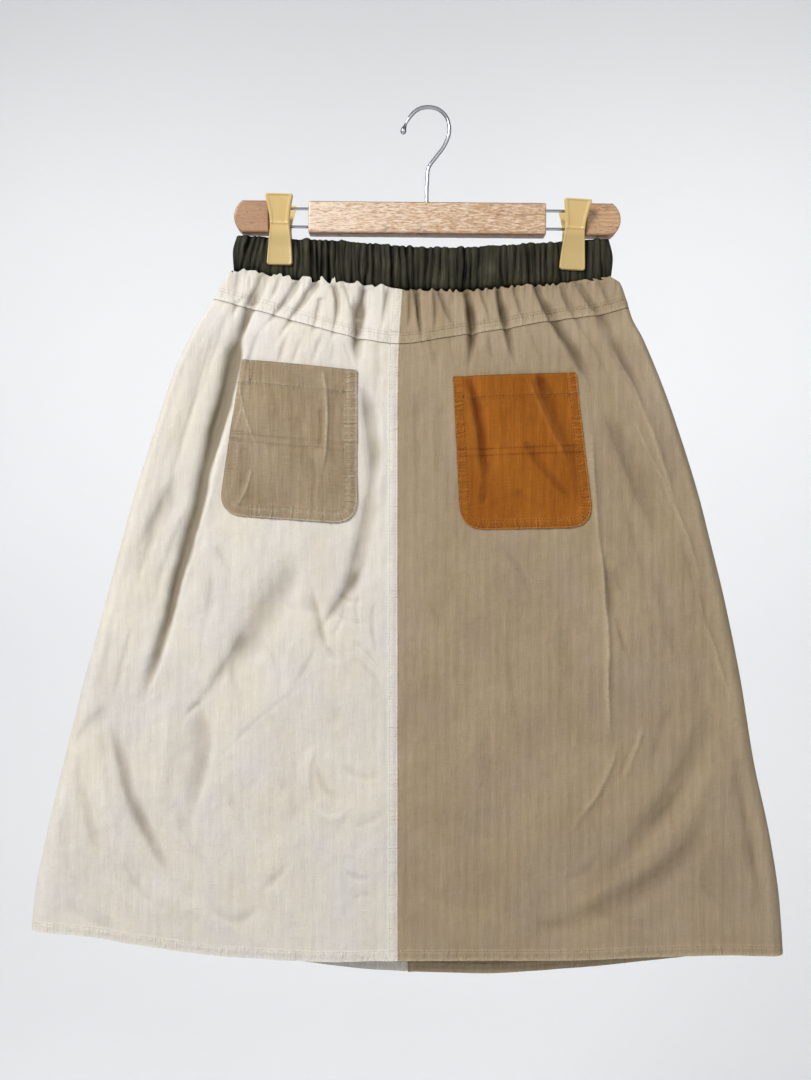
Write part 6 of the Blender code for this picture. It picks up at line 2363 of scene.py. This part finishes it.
@dataclass
class Hanger:
    """The wooden hanger: a middle bar, two end pieces on steel rods, and a wire hook."""

    finishes: Finishes
    tilt: float = 0.5  # degrees, right end low
    middle: tuple[float, float, float] = (-0.7, 0.0, -105.5)
    wood_thickness: float = 12.0
    edge: float = 1.6
    bar_left: float = -112.4
    bar_right: float = 112.2
    bar_top: float = 15.2
    bar_foot: float = -15.1
    end_top: float = 15.3
    end_foot: float = -15.1
    end_inner: float = 149.6
    end_outer: float = 182.6
    end_round: float = 18.6
    wire: float = 1.75

    def placed(self, x: np.ndarray, y: np.ndarray, z: np.ndarray) -> np.ndarray:
        """Points given from the hanger's middle, put where the hanger hangs."""
        turned_x, turned_z = turned(x, z, self.tilt)
        return np.stack([turned_x + self.middle[0], y + self.middle[1], turned_z + self.middle[2]], -1)

    def block(self, name: str, outline: np.ndarray, node: str) -> Object:
        """Make a wooden piece from its outline, with worn, rounded edges.

        Args:
            name: the piece's name.
            outline: x and z around it, in order.
            node: the CAD node that it stands for.

        Returns:
            The piece.
        """
        centre = outline.mean(0)
        following = np.roll(outline, -1, 0) - outline
        before = outline - np.roll(outline, 1, 0)
        tangent = following / np.linalg.norm(following, axis=1, keepdims=True)
        tangent += before / np.linalg.norm(before, axis=1, keepdims=True)
        tangent /= np.linalg.norm(tangent, axis=1, keepdims=True)
        inward = np.stack([-tangent[:, 1], tangent[:, 0]], -1)
        if ((centre - outline) * inward).sum() < 0:
            inward = -inward
        half = self.wood_thickness / 2
        worn = 0.3 * Unevenness(70, 5.0, 5.0).at(outline[:, 0], outline[:, 1] * 3)
        radius = self.edge + worn
        profile = [(math.cos(a), math.sin(a)) for a in np.linspace(math.pi / 2, 0, 6)]
        steps = [(-1, across, up) for across, up in profile]
        steps += [(1, across, up) for across, up in reversed(profile)]
        layers = []
        for face, across, up in steps:
            ring = outline + inward * (radius * (1 - across))[:, None]
            depth = face * (half - radius * (1 - up))
            layers.append(self.placed(ring[:, 0], depth, ring[:, 1]))
        points = np.array(layers)
        count = len(outline)
        faces = grid_faces(len(layers), count, 0, ring=True)
        vertices = list(points.reshape(-1, 3))
        for layer, turned in ((0, True), (len(layers) - 1, False)):
            hub = len(vertices)
            vertices.append(points[layer].mean(0))
            for k in range(count):
                a, b = layer * count + k, layer * count + (k + 1) % count
                faces.append((hub, b, a) if turned else (hub, a, b))
        obj = new_piece(name, np.array(vertices), faces, self.finishes.beech)
        obj.data.set_sharp_from_angle(angle=math.radians(50))
        return finish_piece(obj, "beech", node)

    def bar_outline(self, corner: float = 2.0, pitch: float = 3.0) -> np.ndarray:
        """x and z around the middle bar, whose corners are a little rounded.

        Args:
            corner: how far its corners are rounded.
            pitch: about how far its points are apart.

        Returns:
            The points' x and z.
        """
        left, right, top, foot = self.bar_left, self.bar_right, self.bar_top, self.bar_foot
        points = []
        foot_corners = ((left + corner, foot + corner, 180), (right - corner, foot + corner, 270))
        top_corners = ((right - corner, top - corner, 0), (left + corner, top - corner, 90))
        for x, z, start in foot_corners + top_corners:
            for angle in np.radians(np.linspace(start, start + 90, 6)):
                points.append((x + corner * math.cos(angle), z + corner * math.sin(angle)))
        dense = []
        for (ax, az), (bx, bz) in zip(points, points[1:] + points[:1]):
            steps = max(1, int(math.hypot(bx - ax, bz - az) / pitch))
            dense += [(ax + (bx - ax) * k / steps, az + (bz - az) * k / steps) for k in range(steps)]
        return np.array(dense)

    def end_outline(self, hand: Hand) -> np.ndarray:
        """x and z around an end piece: straight inside, and an arc outside.

        Args:
            hand: the half of the skirt.

        Returns:
            The points' x and z.
        """
        middle = (self.end_top + self.end_foot) / 2
        reach = math.asin((self.end_top - self.end_foot) / 2 / self.end_round)
        points = [(self.end_inner, z) for z in np.linspace(self.end_foot, self.end_top, 10)]
        arc_start = self.end_outer - self.end_round + self.end_round * math.cos(reach)
        points += [(x, self.end_top) for x in np.linspace(self.end_inner, arc_start, 8)[1:-1]]
        for angle in np.linspace(reach, -reach, 32):
            x = self.end_outer - self.end_round + self.end_round * math.cos(angle)
            points.append((x, middle + self.end_round * math.sin(angle)))
        points += [(x, self.end_foot) for x in np.linspace(arc_start, self.end_inner, 8)[1:-1]]
        outline = np.array(points)
        outline[:, 0] *= hand.value
        return outline

    def build_hook(self) -> Object:
        """The hook, one bent wire with a ball at its tip.

        Returns:
            The piece.
        """
        xs, zs, thick = (column(HOOK_BENDS, name) for name in Bend._fields)
        along = np.concatenate([[0.0], np.cumsum(np.hypot(np.diff(xs), np.diff(zs)))])
        at = np.concatenate([np.linspace(0, along[-5], 110), np.linspace(along[-5], along[-1], 22)[1:]])
        step = np.diff(along)
        values = []
        for ys in (xs, zs, thick):
            slope = np.diff(ys) / step
            inner = (slope[:-1] * step[1:] + slope[1:] * step[:-1]) / (step[:-1] + step[1:])
            ends = np.concatenate([slope[:1], inner, slope[-1:]])
            i = np.clip(np.searchsorted(along, at) - 1, 0, len(step) - 1)
            t = (at - along[i]) / step[i]
            rise = ys[i + 1] - ys[i]
            start, end = ends[i] * step[i], ends[i + 1] * step[i]
            bend = (3 * rise - 2 * start - end) + t * (start + end - 2 * rise)
            values.append(ys[i] + t * (start + t * bend))
        path = np.stack([values[0], np.zeros(len(at)), values[1]], -1)
        hook = tube("hook_wire", path, self.wire * np.clip(values[2], 0.35, 2), self.finishes.chrome)
        return finish_piece(hook, "bright_steel", "hook")

    def build(self) -> None:
        """Build the wood and the hook, and finish the rods."""
        self.block("hanger_bar_wood", self.bar_outline(), "hanger_bar")
        for hand in Hand:
            word = hand.name.lower()
            self.block(f"hanger_end_{word}_wood", self.end_outline(hand), f"hanger_end_{word}")
            for level in ("upper", "lower"):
                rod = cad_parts[f"rod_{level}_{word}"]
                rod.data.materials.clear()
                rod.data.materials.append(self.finishes.chrome)
        self.build_hook()


# ---------------------------------------------------------------- clips


class JawSection(NamedTuple):
    """A jaw `drop` below its handle's top: half its width, its inner face's place in y, and its thickness."""

    drop: float
    half_width: float
    inner: float
    thickness: float


JAW = (
    JawSection(0.0, 12.2, 13.8, 2.4),
    JawSection(1.2, 12.9, 13.6, 2.4),
    JawSection(10.0, 11.3, 11.2, 2.4),
    JawSection(20.5, 9.6, 7.6, 2.8),
    JawSection(26.5, 9.4, 6.0, 2.8),
    JawSection(37.0, 10.4, 4.6, 2.2),
    JawSection(48.0, 11.4, 3.4, 2.2),
    JawSection(61.4, 12.2, 3.4, 2.2),
    JawSection(63.4, 12.0, 3.4, 2.2),
)


@dataclass
class Clip:
    """A sprung clip of two moulded jaws, which slides on the rods."""

    name: str
    x: float
    z: float
    tilt: float  # degrees, foot to the left
    pivot_z: float
    finishes: Finishes
    rib_drop: float = 25.6
    rim: float = 3.2
    columns: int = 31
    rows: int = 85
    coil_radius: float = 5.4
    coil_wire: float = 0.75
    coil_length: float = 12.0

    def placed(self, x: np.ndarray, y: np.ndarray, z: np.ndarray) -> np.ndarray:
        """Points given from the middle of the handle's top, put where the clip is."""
        turned_x, turned_z = turned(x, z, self.tilt)
        return np.stack([self.x + turned_x, y, self.z + turned_z], -1)

    def build_jaw(self, side: Side) -> Object:
        """One jaw: a raised rim round its handle, a rib at its waist and a slightly hollow lower half.

        Args:
            side: the face.

        Returns:
            The piece.
        """
        total = JAW[-1].drop
        pace = np.linspace(0, 1, self.rows)
        drop = total * (0.5 - 0.5 * np.cos(np.pi * pace)) * 0.35 + total * pace * 0.65
        drops = column(JAW, "drop")
        measures = (smooth(drops, column(JAW, name), drop) for name in JawSection._fields[1:])
        half_width, inner, thickness = measures
        from_end = np.minimum(drop, total - drop)
        corner = np.where(drop < total / 2, 1.6, 2.4)
        half_width = half_width - corner * (1 - quarter_round(from_end, corner))
        half_width = np.maximum(half_width, 2.0)
        share = np.linspace(-1, 1, self.columns)
        share = np.sin(share * math.pi / 2) * 0.55 + share * 0.45
        x = half_width[:, None] * share[None, :]
        from_side = half_width[:, None] - np.abs(x)
        away = np.minimum(from_side, from_end[:, None])
        upper = 1 - ease((drop - self.rib_drop + 0.8) / 1.6)[:, None]
        rim = 1 - ease((np.minimum(from_side, drop[:, None] * 1.6) - self.rim + 0.5) / 0.9)
        relief = upper * (0.75 * rim - 0.15)
        relief = relief + 0.7 * np.exp(-(((drop - self.rib_drop) / 0.7) ** 2))[:, None]
        border = 1 - ease((from_side - 1.2) / 1.2)
        hollow = 1 - (x / half_width[:, None]) ** 2
        relief = relief + (1 - upper) * (0.28 * border - 0.3 * hollow)
        outer = inner[:, None] + 0.2 + (thickness[:, None] - 0.2 + relief) * quarter_round(away, 0.9)
        z = -np.broadcast_to(drop[:, None], x.shape)
        faces_out = self.placed(x, side.value * outer, z)
        faces_in = self.placed(x, side.value * np.broadcast_to(inner[:, None], x.shape), z)
        gap = faces_out - faces_in
        length = np.maximum(np.linalg.norm(gap, axis=-1), 1e-6)
        uv = np.stack([x, z], -1)
        word = side.name.lower()
        shell = Shell(f"{self.name}_jaw_{word}", faces_out, gap / length[..., None], length, uv)
        obj = shell.build(self.finishes.plastic)
        obj.data.set_sharp_from_angle(angle=math.radians(50))
        return finish_piece(obj, "clip_plastic", f"{self.name}_{word}")

    def build_spring(self) -> Object:
        """The coil spring between the jaws.

        Returns:
            The piece.
        """
        turns, steps = 6, 20
        angle = np.linspace(0, 2 * math.pi * turns, turns * steps + 1)
        along = np.linspace(-self.coil_length / 2, self.coil_length / 2, len(angle))
        slant = (self.pivot_z - self.z) * math.sin(math.radians(self.tilt))
        x = self.x + slant + along
        y = self.coil_radius * np.cos(angle)
        z = self.pivot_z + self.coil_radius * np.sin(angle)
        path = np.stack([x, y, z], -1)
        radii = np.full(len(path), self.coil_wire)
        spring = tube(self.name + "_coil", path, radii, self.finishes.spring, sides=8)
        return finish_piece(spring, "spring_steel", self.name + "_spring")

    def build(self) -> None:
        """Build both jaws and the spring."""
        for side in Side:
            self.build_jaw(side)
        self.build_spring()


# ---------------------------------------------------------------- studio


@dataclass
class Studio:
    """Pale floor and background, soft lights, and the camera."""

    floor_z: float = -2.1
    reach: float = 20.0
    width: float = 40.0
    wall_y: float = 3.4
    bend: float = 1.2
    camera_place: tuple[float, float, float] = (-0.021375, -0.8, -0.40945)
    view_height: float = 1.026  # metres of the plane y = 0 that the picture takes in
    sensor: float = 36.0  # mm, along the picture's longer side
    surroundings: str = "#F4F6F8"

    def build_floor(self) -> None:
        """A sheet of paper that runs along the floor and curves up into a wall far behind."""
        profile = [(-self.reach, self.floor_z), (self.wall_y - self.bend, self.floor_z)]
        for angle in np.linspace(0, math.pi / 2, 20)[1:]:
            y = self.wall_y - self.bend + self.bend * math.sin(angle)
            profile.append((y, self.floor_z + self.bend * (1 - math.cos(angle))))
        profile.append((self.wall_y, self.floor_z + 5.0))
        points = np.array([[(x, y, z) for x in (-self.width / 2, self.width / 2)] for y, z in profile]) / MM
        faces = grid_faces(len(profile), 2)
        paper = new_piece("studio_paper", points.reshape(-1, 3), faces, StudioPaper().make())

    def add_light(
        self, name: str, place: Sequence[float], aim: Sequence[float], size: float, power: float
    ) -> None:
        """Add a square soft light.

        Args:
            name: its name.
            place: where it stands, in metres.
            aim: what it points at.
            size: its side, in metres.
            power: its power in watts.
        """
        light = bpy.data.lights.new(name, "AREA")
        light.shape = "SQUARE"
        light.size = size
        light.energy = power
        obj = bpy.data.objects.new(name, light)
        obj.location = place
        away = np.array(place, float) - np.array(aim, float)
        flat = math.hypot(away[0], away[1])
        obj.rotation_euler = (math.atan2(flat, away[2]), 0, math.atan2(away[0], -away[1]))
        obj.visible_camera = False
        bpy.context.scene.collection.objects.link(obj)

    def build_lights(self) -> None:
        """A large soft light high on the left, a weak one on the right, and pale surroundings."""
        self.add_light("key_light", (-1.35, -1.6, 1.05), (0, 0, -0.35), 0.8, 56)
        self.add_light("fill_light", (1.6, -2.0, 0.2), (0, 0, -0.45), 1.8, 7)
        self.add_light("back_light", (0.6, 2.2, 1.5), (0, 0, -0.4), 2.2, 5)
        self.add_light("wall_light_left", (-1.9, 0.9, 0.9), (-1.9, 3.4, -0.5), 2.4, 27)
        self.add_light("wall_light_right", (1.9, 0.9, 0.9), (1.9, 3.4, -0.5), 2.4, 31)
        world = bpy.data.worlds.new("surroundings")
        world.use_nodes = True
        tree = world.node_tree
        _, y, z = add_node(tree, "SeparateXYZ", {0: add_node(tree, "TexCoord").outputs["Generated"]}).outputs
        ahead = add_node(tree, "Math", {0: y}, operation="ABSOLUTE")
        walls = {"Value": ahead, "From Max": 0.8, "To Min": 0.24, "To Max": 0.54}
        walls = add_node(tree, "MapRange", walls, interpolation_type="SMOOTHSTEP")
        low = {"Value": z, "From Min": -0.8, "From Max": 0.2, "To Min": 0.5, "To Max": 1.0}
        low = add_node(tree, "MapRange", low)
        strength = add_node(tree, "Math", {0: walls, 1: low}, operation="MULTIPLY")
        set_inputs(tree, tree.nodes["Background"], {"Color": linear(self.surroundings), "Strength": strength})
        bpy.context.scene.world = world
        bpy.context.scene.view_settings.view_transform = "Standard"

    def build_camera(self) -> None:
        """The camera, level, straight in front of the skirt's middle."""
        camera = bpy.data.cameras.new("camera")
        camera.sensor_width = self.sensor
        camera.lens = self.sensor * abs(self.camera_place[1]) / self.view_height
        camera.clip_start = 0.01
        camera.clip_end = 100
        obj = bpy.data.objects.new("camera", camera)
        obj.location = self.camera_place
        obj.rotation_euler = (math.pi / 2, 0, 0)
        bpy.context.scene.collection.objects.link(obj)
        bpy.context.scene.camera = obj

    def build(self) -> None:
        """Build the studio."""
        self.build_floor()
        self.build_lights()
        self.build_camera()


# ---------------------------------------------------------------- the whole model


def build_pockets(finishes: Finishes) -> None:
    """Build both patch pockets.

    Args:
        finishes: all the materials.
    """
    left = PatchPocket(
        name="pocket_left",
        slot="khaki_cloth",
        corners=((-174.6, -240.8), (-66.8, -251.6), (-66.4, -394.6), (-196.0, -385.7)),
        mouth_hem=21.0,
        cross_rows=(0.475, 0.52),
        folds=(
            Fold(-176, -256, -172, -288, -155, -332, 2.4, -1.2, 0.6, 0.35),
            Fold(-173, -279, -177, -296, -182, -314, 2.0, -0.5, 0.7, 0.3),
            Fold(-165, -342, -171, -364, -182, -383, 3.0, -1.4, 0.45, 0.35),
            Fold(-175, -322, -171, -340, -176, -364, 5.0, 1.0, 0.0, -0.3),
            Fold(-98, -247, -95, -298, -100, -352, 3.4, -2.2, 0.45, 0.4),
            Fold(-103, -285, -101, -306, -105, -330, 3.0, 1.0, 0.2, -0.2),
            Fold(-124, -292, -117, -325, -102, -356, 6.0, 1.0, 0.2, 0.3),
            Fold(-146, -262, -142, -300, -146, -330, 7.0, 0.9, 0.1),
            Fold(-134, -290, -128, -345, -132, -398, 13.0, 1.7, 0.0),
            Fold(-112, -330, -108, -360, -110, -396, 7.0, 1.0, 0.0),
            Fold(-84, -262, -83, -300, -86, -345, 6.0, 0.9, 0.0),
        ),
        left_pucker=0.35,
        puckered=12.0,
        row_shade=0.9,
        cloth=finishes.taupe,
        thread=finishes.taupe_thread,
    )
    right = PatchPocket(
        name="pocket_right",
        slot="rust_cloth",
        corners=((22.8, -257.6), (137.4, -253.4), (153.5, -397.3), (30.0, -400.2)),
        mouth_hem=20.0,
        cross_rows=(0.475, 0.52),
        folds=(
            Fold(30, -246, 49, -302, 55, -356, 4.2, 3.2, 0.2, -0.3, 0.1),
            Fold(54, -330, 53, -356, 47, -380, 3.2, 2.2, 0.3, -0.3, 0.1),
            Fold(100, -250, 121, -300, 142, -356, 5.0, 3.6, 0.2, -0.3, 0.0),
            Fold(92, -258, 112, -302, 131, -345, 4.6, -1.4, 0.2, 0.4),
            Fold(133, -340, 141, -362, 145, -380, 3.6, 1.6, 0.4, 0.3),
            Fold(90, -316, 108, -346, 136, -374, 3.8, 3.0, 0.3, -0.3, 0.1),
            Fold(62, -262, 68, -300, 74, -330, 9.0, 0.7, 0.0),
            Fold(80, -360, 92, -374, 112, -380, 7.0, 0.8, 0.1),
        ),
        cloth=finishes.rust,
        thread=finishes.rust_thread,
    )
    left.build()
    right.build()


def build_clips(finishes: Finishes, hanger: Hanger) -> None:
    """Build both clips, whose springs sit halfway between the rods."""
    for name, x, z, tilt in (("clip_left", -139.3, -86.1, 1.0), ("clip_right", 139.8, -91.1, 3.4)):
        pivot = hanger.middle[2] + 1.0 - x * math.sin(math.radians(hanger.tilt))
        Clip(name, x, z, tilt, pivot, finishes).build()


def main() -> None:
    """Build the whole dressed model."""
    logging.basicConfig(level=logging.INFO, format="%(name)s: %(message)s")
    finishes = Finishes()
    hanger = Hanger(finishes)
    hanger.build()
    build_clips(finishes, hanger)
    Waistband(finishes).build()
    ClothFace(Side.FRONT, finishes).build()
    ClothFace(Side.BACK, finishes, columns=116, rows=151, yoke_columns=170, yoke_rows=27).build()
    build_pockets(finishes)
    Studio().build()


if __name__ == "__main__":
    main()
